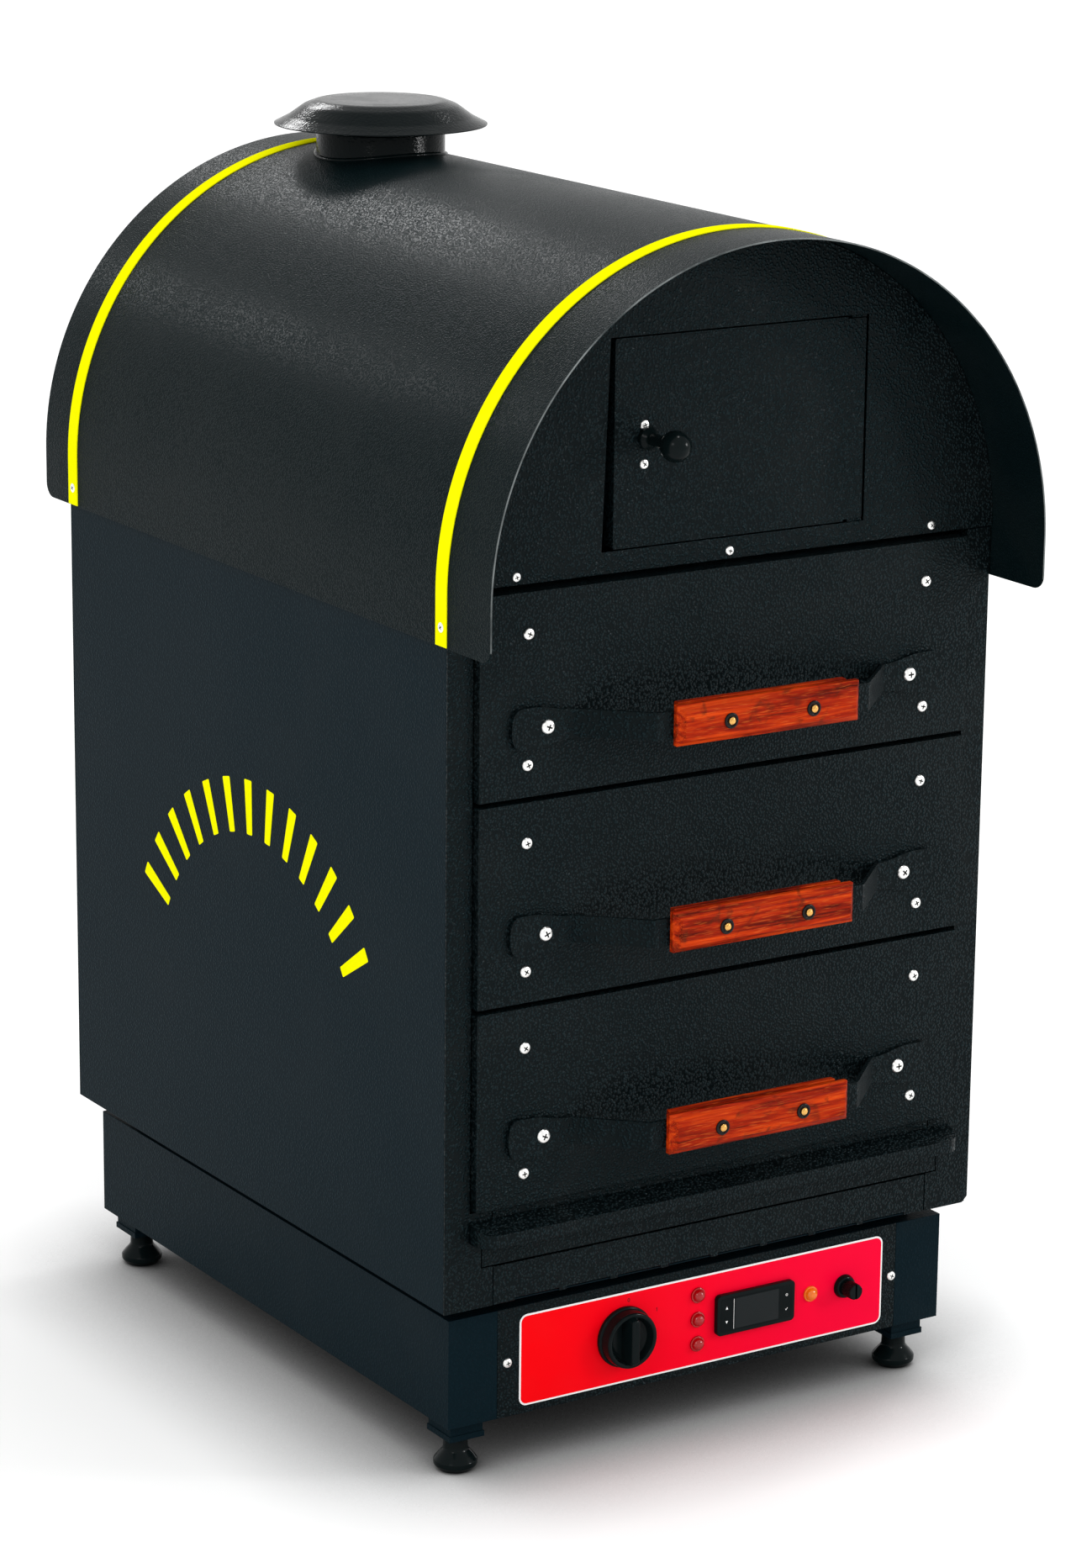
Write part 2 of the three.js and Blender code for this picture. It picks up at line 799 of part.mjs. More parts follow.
function sidePanel(side) {
  const y = [backing, body.depth - backing];
  const z = [bodyBottom, bodyTop];
  const inner = bodyHalf - body.flange;
  const wall = block(span(side * (bodyHalf - sheet), side * bodyHalf), y, z);
  const flangeX = span(side * inner, side * (bodyHalf - sheet + lap));
  const flangeZ = [bodyBottom + 2 * sheet, bodyTop];
  const solid = join(
    wall,
    block(flangeX, [y[0], y[0] + sheet], flangeZ),
    block(flangeX, [y[1] - sheet, y[1]], flangeZ),
    block(flangeX, y, [bodyTop - sheet, bodyTop]),
  );
  return side > 0 ? cut(solid, cornerCutter()) : solid;
}

function rearPanel() {
  const y = [body.depth - sheet, body.depth];
  const plate = block([-bodyHalf, bodyHalf], y, [bodyBottom, bodyTop]);
  const rows = Array.from({ length: rearVent.rows }, (_, i) =>
    ventRow(rearVent, bodyTop - rearVent.drop - i * rearVent.rowRise, grown(y, overrun)),
  );
  return cut(plate, rows.flat());
}

// Gap between two neighbouring drawer fronts, at the level above the given drawer
const seamAbove = (level) => drawerBottom + level * drawerPitch + (drawer.height + drawerPitch) / 2;

function frontFrame() {
  const y = [0, sheet];
  const openingTop = bodyTop - seatGap;
  const railY = [railFront, railBack];
  const stiles = [-1, 1].map((side) => {
    const stileAt = (width, z) => block(span(side * (bodyHalf - width), side * bodyHalf), y, z);
    const cheekX = span(side * openingHalf, side * (openingHalf + sheet));
    return join(
      stileAt(frame.stile, [bodyBottom, openingTop]),
      stileAt(frame.trayStile, [bodyBottom, trayTop]),
      stileAt(frame.trayStile + tray.shoulderInset, [trayShoulder + tray.sideGap, trayTop]),
      stileAt(frame.lowerStile, [bodyBottom, lowerPanelTop]),
      block(cheekX, [0, railBack], [trayTop - sheet, openingTop]),
      block(
        span(side * openingHalf, side * (bodyHalf - frame.lowerStile)),
        [sheet - lap, railBack],
        [lowerPanelTop - frame.lowerRailHeight, lowerPanelTop - frame.lowerRailHeight + sheet],
      ),
    );
  });
  const railHalf = openingHalf + sheet;
  const rail = (z, height) => block([-railHalf, railHalf], railY, [z - height / 2, z + height / 2]);
  const rails = [
    rail(seamAbove(0), frame.railHeight),
    rail(seamAbove(1), frame.railHeight),
    rail(openingTop - frame.railHeight / 2, frame.railHeight),
    rail(drawerBottom, frame.trayRailHeight),
  ];
  const lowerRail = block(
    [-openingHalf, openingHalf],
    [backing, backing + sheet],
    [lowerPanelTop - frame.lowerRailHeight, lowerPanelTop - sheet],
  );
  const lowerShelf = block(
    [-openingHalf, openingHalf],
    [backing, railBack],
    [lowerPanelTop - frame.lowerRailHeight, lowerPanelTop - frame.lowerRailHeight + sheet],
  );
  return cut(join(stiles, rails, lowerRail, lowerShelf), cornerCutter());
}

function lowerFrontPanel() {
  const half = bodyHalf - frame.lowerStile - seatGap - sheet / 2;
  const y = [0, sheet];
  const plate = block([-half, half], y, [bodyBottom, lowerPanelTop - sheet / 2]);
  const slots = ventRow(lowerPanel.slots, bodyBottom - lowerPanel.slotBelow, grown(y, overrun));
  return cut(plate, slots);
}

const heaterLegX = (leg) => (leg - (heater.legs - 1) / 2) * heater.legPitch;
const heaterEnds = [heaterLegX(0), heaterLegX(heater.legs - 1)];

function heaterBores(radius, y) {
  return Object.values(heaterHeights).flatMap((z) => heaterEnds.map((x) => levelRod(radius, [x, z], y)));
}

function ovenLiner() {
  const x = [-linerHalf, linerHalf];
  const y = [linerFront, linerRear];
  const z = [linerFloor, linerTop];
  const shell = cut(
    block(x, y, z),
    block(grown(x, -sheet), [y[0] - overrun, y[1] - sheet], grown(z, -sheet)),
  );
  const lips = [-1, 1].map((side) =>
    block(span(side * (linerHalf - sheet), side * (linerHalf + liner.lip)), [y[0], y[0] + sheet], z),
  );
  const roof = [linerTop - sheet - overrun, linerTop + overrun];
  const outlet = uprightRod(flue.radius - flue.outletStep, [0, flueY], roof, turnedSides);
  const bores = heaterBores(heater.radius + heater.boreGap, [y[1] - overrun, y[1] + overrun]);
  return cut(join(shell, lips), outlet, bores);
}

function insulationWrap() {
  const inner = linerHalf + insulation.gap;
  const outer = bodyHalf - sheet - insulation.gap;
  const y = [linerFront + insulation.frontInset, body.depth - backing - sheet - insulation.gap];
  const z = [linerFloor + insulation.bottomRise, linerTop - insulation.topDrop];
  const wrap = cut(
    block([-outer, outer], y, z),
    block([-inner, inner], [y[0] - overrun, linerRear + insulation.gap], grown(z, overrun)),
  );
  return cut(wrap, heaterBores(heater.radius + heater.boreGap, [linerRear - overrun, y[1] + overrun]));
}

// Half circle in a level plane from one leg to the next, bulging to the front (-1) or rear (1)
class BendCurve extends THREE.Curve {
  constructor(x, y, z, radius, bulge) {
    super();
    Object.assign(this, { x, y, z, radius, bulge });
  }
  getPoint(t, target = new THREE.Vector3()) {
    const angle = Math.PI * (1 - t);
    return target.set(
      this.x + this.radius * Math.cos(angle),
      this.y + this.bulge * this.radius * Math.sin(angle),
      this.z,
    );
  }
}

// Element tube: legs run front to back, joined by half-circle bends, and both ends leave through the rear
function heatingElement(z) {
  const bend = heater.legPitch / 2;
  const path = new THREE.CurvePath();
  const rearTurn = linerRear - heater.rearTurn;
  const tail = linerRear + heater.tail;
  const front = linerFront + heater.frontInset;
  for (let leg = 0; leg < heater.legs; leg += 1) {
    const x = heaterLegX(leg);
    const forward = leg % 2 === 0;
    const rearEnd = leg === 0 || leg === heater.legs - 1 ? tail : rearTurn;
    const ends = forward ? [rearEnd, front + bend] : [front + bend, rearEnd];
    path.add(new THREE.LineCurve3(new THREE.Vector3(x, ends[0], z), new THREE.Vector3(x, ends[1], z)));
    if (leg < heater.legs - 1) path.add(new BendCurve(x + bend, ends[1], z, bend, forward ? -1 : 1));
  }
  const section = new THREE.Shape();
  section.absarc(0, 0, heater.radius, 0, 2 * Math.PI);
  const geometry = new THREE.ExtrudeGeometry(section, {
    extrudePath: path,
    steps: Math.round(path.getLength() / heater.step),
    bevelEnabled: false,
    curveSegments: heater.halfSides,
  });
  return solidFrom(geometry);
}

const levelZ = (level) => drawerBottom + level * drawerPitch;

// Upright strip on the cavity wall with a ledge under and a guide over each drawer box
function drawerRack(side) {
  const wallX = linerHalf - sheet - seatGap;
  const plateX = span(side * (wallX - rack.thickness), side * wallX);
  const ledgeX = span(side * (wallX - lap), side * (wallX - rack.ledge));
  const y = [linerFront + rack.frontInset, innerRear - rack.rearGap];
  const ledges = drawerLevels.flatMap((_, level) => {
    const low = levelZ(level) + drawer.boxBottom - seatGap;
    const high = levelZ(level) + drawer.boxBottom + drawer.boxHeight + rack.guideGap;
    return [
      block(ledgeX, y, [low - rack.ledgeThickness, low]),
      block(ledgeX, y, [high, high + rack.ledgeThickness]),
    ];
  });
  const bottom = levelZ(0) + drawer.boxBottom - rack.foot;
  const top = levelZ(drawerLevels.length - 1) + drawer.boxBottom + drawer.boxHeight + rack.foot;
  return join(block(plateX, y, [bottom, top]), ledges);
}

function drawerFront() {
  const x = [-drawerHalf, drawerHalf];
  const y = [-drawer.proud, drawer.frontDepth - drawer.proud];
  const z = [0, drawer.height];
  return cut(block(x, y, z), block(grown(x, -sheet), [y[0] + sheet, y[1] + overrun], grown(z, -sheet)));
}

function drawerBox() {
  const plateHalf = drawerHalf - drawer.backPlateInset;
  const plateFront = drawer.frontDepth - drawer.proud + seatGap;
  const plateY = [plateFront, plateFront + sheet];
  const plate = block(
    [-plateHalf, plateHalf],
    plateY,
    [drawer.backPlateInset, drawer.height - drawer.backPlateInset],
  );
  const y = [plateFront, innerRear - drawer.rearGap];
  const z = [drawer.boxBottom, drawer.boxBottom + drawer.boxHeight];
  const box = cut(
    block([-boxHalf, boxHalf], y, z),
    block([-boxHalf + sheet, boxHalf - sheet], grown(y, -sheet), [z[0] + sheet, z[1] + overrun]),
  );
  return join(plate, box);
}

// Level strip of constant thickness that follows the given plan points
function bentStrip(points, thickness, z) {
  const offsets = points.map((point, i) => {
    const before = points[Math.max(i - 1, 0)];
    const after = points[Math.min(i + 1, points.length - 1)];
    const into = new THREE.Vector2(point[0] - before[0], point[1] - before[1]).normalize();
    const out = new THREE.Vector2(after[0] - point[0], after[1] - point[1]).normalize();
    const heading = into.clone().add(out).normalize();
    const normal = new THREE.Vector2(-heading.y, heading.x);
    const intoShare = normal.dot(new THREE.Vector2(-into.y, into.x));
    const outShare = normal.dot(new THREE.Vector2(-out.y, out.x));
    const stretch = 1 / Math.max(intoShare, outShare);
    return normal.multiplyScalar((thickness / 2) * stretch);
  });
  const left = points.map(([x, y], i) => [x + offsets[i].x, y + offsets[i].y]);
  const right = points.map(([x, y], i) => [x - offsets[i].x, y - offsets[i].y]);
  return planPrism(polygon([...left, ...right.reverse()]), z);
}

const tabFace = -drawer.proud - seatGap;

function handleBar() {
  const tabMid = tabFace - handle.strip / 2;
  const barMid = tabFace - handle.standOff - handle.strip / 2;
  const tabOuter = drawerHalf - handle.endInset;
  const tabInner = tabOuter - handle.tabLength;
  const tabLapX = tabInner + handle.tabOverlap;
  const half = [
    [tabLapX, tabMid],
    [tabInner, tabMid],
    [tabInner - handle.slopeRun, barMid],
  ];
  const mirrored = half.map(([x, y]) => [-x, y]);
  const z = [handle.height - handle.barHeight / 2, handle.height + handle.barHeight / 2];
  const strip = bentStrip([...mirrored, ...half.reverse()], handle.strip, z);
  const tabs = [-1, 1].map((side) => {
    const x = span(side * tabInner, side * tabOuter);
    const tabZ = [handle.height - handle.tabHeight / 2, handle.height + handle.tabHeight / 2];
    return frontPrism(roundedOutline(x, tabZ, handle.tabCorner), [tabFace - handle.strip, tabFace]);
  });
  return join(strip, tabs);
}

// Half of the wooden grip: a block with its outer face bevelled all round
function gripHalf(endGap, thickness, chamfer, y, outward) {
  const reach = thickness - chamfer;
  const half = drawerHalf - handle.endInset - handle.tabLength - handle.slopeRun - endGap;
  const x = [chamfer - half, half - chamfer];
  const z = [handle.height - grip.height / 2 + chamfer, handle.height + grip.height / 2 - chamfer];
  const outline = polygon([
    [x[0], z[0]],
    [x[1], z[0]],
    [x[1], z[1]],
    [x[0], z[1]],
  ]);
  const geometry = new THREE.ExtrudeGeometry(outline, {
    depth: 2 * reach,
    bevelSize: chamfer,
    bevelThickness: chamfer,
    bevelSegments: 1,
  });
  const whole = solidFrom(geometry.applyMatrix4(frontView).translate(0, y + reach, 0));
  const away = span(y, y - outward * (thickness + overrun));
  return cut(whole, block(grown(x, chamfer + overrun), away, grown(z, chamfer + overrun)));
}

const barFront = tabFace - handle.standOff - handle.strip;
const barBack = tabFace - handle.standOff;
const frontGripFace = barFront - seatGap;
const backGripFace = barBack + seatGap;
const frontGrip = () => gripHalf(grip.endGap, grip.frontThickness, grip.chamfer, frontGripFace, -1);
const backGrip = () => gripHalf(grip.backEndGap, grip.backThickness, grip.backChamfer, backGripFace, 1);

// Sloping lip with rounded ends, a bent sheet open below that runs past both sides of the tray
function dripLip() {
  const half = trayHalf + tray.lipOverhang;
  const top = trayBottom + tray.lipRise;
  const frontTop = top - tray.lipFall;
  const bottom = frontTop - tray.lipDrop;
  const form = (inset, low) => {
    const profile = sidePrism(
      polygon([
        [lap, low],
        [lap, top - inset],
        [-tray.lipReach, frontTop - inset],
        [-tray.lipReach, low],
      ]),
      [-half, half],
    );
    const reach = tray.lipReach - inset;
    const ends = [inset - half, half - inset];
    const outline = roundedOutline(ends, [-reach, reach], tray.lipCorner - inset);
    return profile.intersect(planPrism(outline, [low, top]));
  };
  const behind = (side) =>
    block(
      span(side * (trayHalf - tray.shoulderInset - lap), side * (half + overrun)),
      [-seatGap, overrun],
      [bottom - overrun, top + overrun],
    );
  const hollow = cut(
    form(sheet, bottom - overrun),
    block([-half, half], [-seatGap - sheet, overrun], [bottom - 2 * overrun, top]),
  );
  return cut(form(0, bottom), hollow, behind(-1), behind(1));
}

function crumbTray() {
  const y = [0, sheet];
  const floorZ = linerFloor + sheet + seatGap;
  const upperHalf = trayHalf - tray.shoulderInset;
  const panHalf = linerHalf - sheet - tray.panSideGap;
  const face = join(
    block([-trayHalf, trayHalf], y, [trayBottom, trayShoulder]),
    block([-upperHalf, upperHalf], y, [trayShoulder - lap, trayTop]),
  );
  const panX = [-panHalf, panHalf];
  const panY = [sheet - lap, innerRear - tray.rearGap];
  const panZ = [floorZ, floorZ + tray.panHeight];
  const pan = cut(
    block(panX, panY, panZ),
    block(grown(panX, -sheet), grown(panY, -sheet), [panZ[0] + sheet, panZ[1] + overrun]),
  );
  return join(face, pan, dripLip());
}

// Outline of the door opening: the left side leans, wider at the foot
function doorOpening() {
  return polygon([
    [doorLeft - door.leftGapBottom, doorBottom - door.gap],
    [doorRight + door.hingeGap, doorBottom - door.gap],
    [doorRight + door.hingeGap, doorTop + door.gap],
    [doorLeft - door.leftGapTop, doorTop + door.gap],
  ]);
}

// Half-round plate with a curved flange, closing one end of the warming compartment
function archPlate(y, flangeY) {
  const legEnd = bodyTop - overrun;
  const half = archRadius + overrun;
  return cut(
    join(
      frontPrism(polygon(archPoints(archRadius, legEnd)), y),
      archBand(archRadius, archRadius - sheet, legEnd, flangeY),
    ),
    block([-half, half], grown(flangeY, overrun), [legEnd - overrun, bodyTop + arch.seam]),
  );
}

function archPanel() {
  const y = [0, sheet];
  const plate = cut(
    archPlate(y, [0, sheet + arch.flange]),
    frontPrism(doorOpening(), grown(y, overrun)),
  );
  const keeperZ = [catchZ - arch.keeperHeight / 2, catchZ + arch.keeperHeight / 2];
  const rootX = doorLeft - door.leftGapBottom - arch.keeperRoot;
  const keeperY = door.depth + seatGap;
  const keeper = join(
    block([rootX, rootX + sheet], [sheet - lap, keeperY + sheet], keeperZ),
    block([rootX, rootX + arch.keeperWidth], [keeperY, keeperY + sheet], keeperZ),
  );
  return join(plate, keeper);
}

function rearArchPanel() {
  return archPlate([body.depth - sheet, body.depth], [body.depth - sheet - arch.flange, body.depth]);
}

function hoodSheet() {
  const y = [-hood.frontOverhang, body.depth + hood.rearOverhang];
  const band = archBand(hoodOuter, hoodInner, hoodBottom, y);
  const crown = bodyTop + hoodOuter + 2 * hood.corner;
  const sideOutline = roundedOutline(y, [hoodBottom, crown], hood.corner);
  const rounded = band.intersect(sidePrism(sideOutline, [-hoodOuter - overrun, hoodOuter + overrun]));
  const flueBore = uprightRod(
    flue.radius + hood.flueGap,
    [0, flueY],
    [bodyTop, bodyTop + hoodOuter + overrun],
    turnedSides,
  );
  return cut(rounded, flueBore);
}

function strapBand(y) {
  const inner = hoodOuter + seatGap;
  const bottom = hoodBottom + strap.rise;
  return archBand(inner + strap.thickness, inner, bottom, [y - strap.width / 2, y + strap.width / 2]);
}

const deckBottom = bodyTop + seatGap;
const deckTop = deckBottom + sheet;

function warmingDeck() {
  const half = bodyHalf - deck.sideGap;
  const y = [backing, body.depth - backing];
  const plate = block([-half, half], y, [deckBottom, deckTop]);
  const riser = block([-half, half], [y[0], y[0] + sheet], [deckBottom, deckTop + deck.riser]);
  const thickness = [deckBottom - overrun, deckTop + overrun];
  const bore = uprightRod(flue.radius + flue.deckGap, [0, flueY], thickness, turnedSides);
  const hingeHalf = hinge.width / 2 + deck.hingeNotch;
  const hingeNotch = block(
    [pivotX - hingeHalf, pivotX + hingeHalf],
    [0, 2 * sheet + backing],
    [deckTop, deckTop + deck.riser + overrun],
  );
  return cut(join(plate, riser), bore, hingeNotch);
}

function fluePipe() {
  const bottom = linerTop + seatGap;
  const inner = flue.radius - flue.wall;
  const collar = [deckTop + seatGap, deckTop + seatGap + flue.collarRise];
  return turned([
    [inner, bottom],
    [flue.radius, bottom],
    [flue.radius, collar[0]],
    [flue.radius + flue.collarWidth, collar[0]],
    [flue.radius + flue.collarWidth, collar[1]],
    [flue.radius, collar[1]],
    [flue.radius, flueTop],
    [inner, flueTop],
    [inner, bottom],
  ]);
}

function flueCap() {
  const outer = [
    [capRadii.rim, capRim],
    [capRadii.flare, capRim + cap.flareRise],
    [capRadii.shoulder, capRim + cap.shoulderRise],
    [capRadii.plateau, capTop],
    [0, capTop],
  ];
  const inner = [
    [0, capTop - sheet],
    [capRadii.plateau, capTop - sheet],
    [capRadii.shoulder - sheet, capRim + cap.shoulderRise - sheet],
    [capRadii.flare - sheet, capRim + cap.flareRise - sheet],
    [capRadii.rim, capRim - sheet],
    [capRadii.rim, capRim],
  ];
  const shell = turned([...outer, ...inner].reverse());
  const legOuter = flue.radius - flue.wall - cap.legGap;
  const legZ = [flueTop - cap.legDepth, capTop - sheet / 2];
  const legs = Array.from({ length: cap.legCount }, (_, i) => {
    const leg = new THREE.BoxGeometry(cap.legThickness, cap.legWidth, legZ[1] - legZ[0]);
    leg.translate(legOuter - cap.legThickness / 2, 0, middle(legZ));
    return solidFrom(leg.rotateZ((2 * Math.PI * i) / cap.legCount + Math.PI / 2));
  });
  return join(shell, legs);
}

function doorPan() {
  const x = [doorLeft, doorRight];
  const z = [doorBottom, doorTop];
  const pan = cut(
    block(x, [0, door.depth], z),
    block(grown(x, -sheet), [sheet, door.depth + overrun], grown(z, -sheet)),
  );
  const holes = z.map((edge) =>
    uprightRod(door.pinRadius + door.pinGap, [pivotX, door.pivotY], [edge - overrun, edge + overrun]),
  );
  return cut(pan, holes);
}

// Hinge bracket with its pin, above (1) or below (-1) the door
function doorHinge(side) {
  const edge = side > 0 ? doorTop : doorBottom;
  const near = edge + side * seatGap;
  const shelfZ = span(near, near + side * hinge.plate);
  const x = [pivotX - hinge.width / 2, pivotX + hinge.width / 2];
  const y = [backing, backing + hinge.reach];
  const shelf = block(x, y, shelfZ);
  const back = block(x, [backing, backing + hinge.plate], span(near, near + side * hinge.height));
  const pinZ = span(edge - side * door.pinLength, near + side * lap);
  const pin = uprightRod(door.pinRadius, [pivotX, door.pivotY], pinZ);
  return join(shelf, back, pin);
}

function doorKnob() {
  const ball = [];
  const neckAngle = Math.asin(knob.neckRadius / knob.ballRadius);
  for (let i = 0; i <= knob.arcSteps; i += 1) {
    const angle = neckAngle + ((Math.PI - neckAngle) * i) / knob.arcSteps;
    ball.push([knob.ballRadius * Math.sin(angle), knob.ballCentre - knob.ballRadius * Math.cos(angle)]);
  }
  ball[knob.arcSteps][0] = 0;
  return turnedForward(
    [
      [0, 0],
      [knob.baseRadius, 0],
      [knob.baseRadius, knob.baseDepth],
      [knob.neckRadius, knob.coneReach],
      ...ball,
    ],
    smallSides,
  );
}

function doorCatch() {
  return block(
    [catchX - catchBox.width / 2, catchX + catchBox.width / 2],
    [backing, backing + catchBox.depth],
    [catchZ - catchBox.height / 2, catchZ + catchBox.height / 2],
  );
}

// Electrics base
place("base_shell", baseShell(), "sidePaint");
place("control_panel", controlPanel(), "blackTexture");
place("panel_overlay", panelOverlay(), "redFascia");
place("controller", controllerUnit(), "blackPlastic");
for (const [name, z] of Object.entries(lampHeights)) {
  place(`lamp_red_${name}`, pilotLamp(), "redLens").position.set(lampX, overlayFace - seatGap, z);
}
place("lamp_amber", pilotLamp(), "amberLens").position.set(amberX, overlayFace - seatGap, controlsZ);
place("selector_switch", selectorSwitch(), "blackPlastic").position.set(selectorX, 0, controlsZ);
place("selector_knob", selectorKnob(), "blackPlastic").position.set(
  selectorX,
  overlayFace - seatGap,
  controlsZ,
);
const fuseGroup = new THREE.Group();
fuseGroup.position.set(fuseX, overlayFace - seatGap, controlsZ);
oven.add(fuseGroup);
place("fuse_holder", fuseHolder(), "blackPlastic", fuseGroup);
place("fuse_cap", fuseCap(), "blackPlastic", fuseGroup).position.y = -fuse.bezelDepth - seatGap;
place("cable_gland", cableGland(), "blackPlastic").position.set(glandPlace[0], 0, glandPlace[1]);
for (const [name, [x, y]] of Object.entries(footPlaces)) {
  place(`foot_${name}`, levellingFoot(), "blackPlastic").position.set(x, y, 0);
}

// Cabinet
place("body_floor", bodyFloor(), "sidePaint");
place("left_side_panel", sidePanel(-1), "sidePaint");
place("right_side_panel", sidePanel(1), "sidePaint");
place("rear_panel", rearPanel(), "sidePaint");
place("front_frame", frontFrame(), "blackTexture");
place("lower_front_panel", lowerFrontPanel(), "blackTexture");
place("insulation_wrap", insulationWrap(), "mineralWool");
place("oven_liner", ovenLiner(), "stainless");
place("drawer_rack_left", drawerRack(-1), "galvanised");
place("drawer_rack_right", drawerRack(1), "galvanised");
place("heater_lower", heatingElement(heaterHeights.lower), "elementSheath");
place("heater_upper", heatingElement(heaterHeights.upper), "elementSheath");

// Drawers and crumb tray
drawerLevels.forEach((level, i) => {
  const group = new THREE.Group();
  group.position.z = levelZ(i);
  oven.add(group);
  place(`drawer_front_${level}`, drawerFront(), "blackTexture", group);
  place(`drawer_box_${level}`, drawerBox(), "stainless", group);
  place(`handle_bar_${level}`, handleBar(), "blackTexture", group);
  place(`grip_front_${level}`, frontGrip(), "hardwood", group);
  place(`grip_back_${level}`, backGrip(), "hardwood", group);
});
place("crumb_tray", crumbTray(), "blackTexture");

// Warming compartment
place("warming_deck", warmingDeck(), "stainless");
place("arch_panel", archPanel(), "blackTexture");
place("rear_arch_panel", rearArchPanel(), "hoodPaint");
place("hood_sheet", hoodSheet(), "hoodPaint");
place("strap_front", strapBand(strap.frontY), "yellowStrip");
place("strap_rear", strapBand(body.depth - strap.rearInset), "yellowStrip");
place("flue_pipe", fluePipe(), "hoodPaint").position.y = flueY;
place("flue_cap", flueCap(), "glossBlack").position.y = flueY;
place("door", doorPan(), "blackTexture");
place("door_hinge_upper", doorHinge(1), "blackTexture");
place("door_hinge_lower", doorHinge(-1), "blackTexture");
place("door_catch", doorCatch(), "blackPlastic");
place("door_knob", doorKnob(), "blackPlastic").position.set(knobX, -seatGap, knobZ);

export default potatoOven;
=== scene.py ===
import json
from math import acos, atan2, cos, pi, radians, sin, sqrt, tan

import bmesh
import bpy
from mathutils import Matrix, Vector


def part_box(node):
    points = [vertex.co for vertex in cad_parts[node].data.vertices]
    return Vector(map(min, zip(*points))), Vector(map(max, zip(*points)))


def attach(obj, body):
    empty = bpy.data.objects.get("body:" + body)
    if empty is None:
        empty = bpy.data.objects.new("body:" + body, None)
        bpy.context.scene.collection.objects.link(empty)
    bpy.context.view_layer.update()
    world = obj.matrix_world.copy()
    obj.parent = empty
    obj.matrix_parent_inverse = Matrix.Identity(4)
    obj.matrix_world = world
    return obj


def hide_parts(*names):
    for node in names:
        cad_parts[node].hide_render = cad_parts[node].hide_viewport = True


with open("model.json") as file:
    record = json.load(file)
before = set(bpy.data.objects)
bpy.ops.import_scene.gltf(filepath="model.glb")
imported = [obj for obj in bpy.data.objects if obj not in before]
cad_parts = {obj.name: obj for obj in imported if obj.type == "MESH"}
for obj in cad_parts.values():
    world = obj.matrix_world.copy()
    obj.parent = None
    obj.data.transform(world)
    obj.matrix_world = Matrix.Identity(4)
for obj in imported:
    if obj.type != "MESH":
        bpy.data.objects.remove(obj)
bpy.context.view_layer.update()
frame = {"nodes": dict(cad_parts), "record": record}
nodes = frame["nodes"]
mm = 0.001
print("frame loaded:", len(nodes), "nodes")


# Camera, at the photograph's angle

viewpoint = {
    "place": (-2.0364, -3.2298, 1.4963),
    "turn": 0.5678,  # clockwise from looking along +Y
    "dip": 0.2607,  # below level
    "roll": -0.011,
    "lens": 107.9,
    "sensor": 36.0,
    "farthest": 60,
}


def addCamera():
    turn, dip, roll = viewpoint["turn"], viewpoint["dip"], viewpoint["roll"]
    ahead = Vector((sin(turn) * cos(dip), cos(turn) * cos(dip), -sin(dip)))
    level = Vector((cos(turn), -sin(turn), 0))
    down = ahead.cross(level)
    right = level * cos(roll) + down * sin(roll)
    up = level * sin(roll) - down * cos(roll)
    camera = bpy.data.objects.new("camera", bpy.data.cameras.new("camera"))
    camera.data.lens = viewpoint["lens"]
    camera.data.sensor_width = viewpoint["sensor"]
    camera.data.clip_end = viewpoint["farthest"]
    matrix = Matrix((right, up, -ahead)).transposed().to_4x4()
    matrix.translation = Vector(viewpoint["place"])
    camera.matrix_world = matrix
    bpy.context.scene.collection.objects.link(camera)
    bpy.context.scene.camera = camera


addCamera()


# Node helpers

def feed(tree, node, **inputs):
    # From_Min stands for the socket From Min, and i0 for the first socket
    for label, value in inputs.items():
        socket = node.inputs[int(label[1:]) if label[1:].isdigit() else label.replace("_", " ")]
        if isinstance(value, bpy.types.NodeSocket):
            tree.links.new(value, socket)
        else:
            socket.default_value = value


def addNode(tree, kind, settings=None, **inputs):
    node = tree.nodes.new("ShaderNode" + kind)
    for key, value in (settings or {}).items():
        setattr(node, key, value)
    feed(tree, node, **inputs)
    return node


def calc(tree, operation, *values):
    inputs = {f"i{k}": value for k, value in enumerate(values)}
    return addNode(tree, "Math", {"operation": operation}, **inputs).outputs[0]


def spread(tree, value, low, high, start=0.0, end=1.0, smooth=False):
    settings = {"interpolation_type": "SMOOTHSTEP" if smooth else "LINEAR"}
    node = addNode(tree, "MapRange", settings, Value=value, From_Min=low, From_Max=high,
                   To_Min=start, To_Max=end)
    return node.outputs["Result"]


def blend(tree, share, a, b, kind="MIX"):
    node = addNode(tree, "Mix", {"data_type": "RGBA", "blend_type": kind}, Factor=share, A=a, B=b)
    return node.outputs["Result"]


def objectPlace(tree, stretch=None):
    place = addNode(tree, "TexCoord").outputs["Object"]
    if stretch is None:
        return place
    return addNode(tree, "VectorMath", {"operation": "MULTIPLY"}, i0=place, i1=stretch).outputs[0]


def noise(tree, place, scale, **inputs):
    return addNode(tree, "TexNoise", Vector=place, Scale=scale, **inputs).outputs["Fac"]


# Floor, world and lights

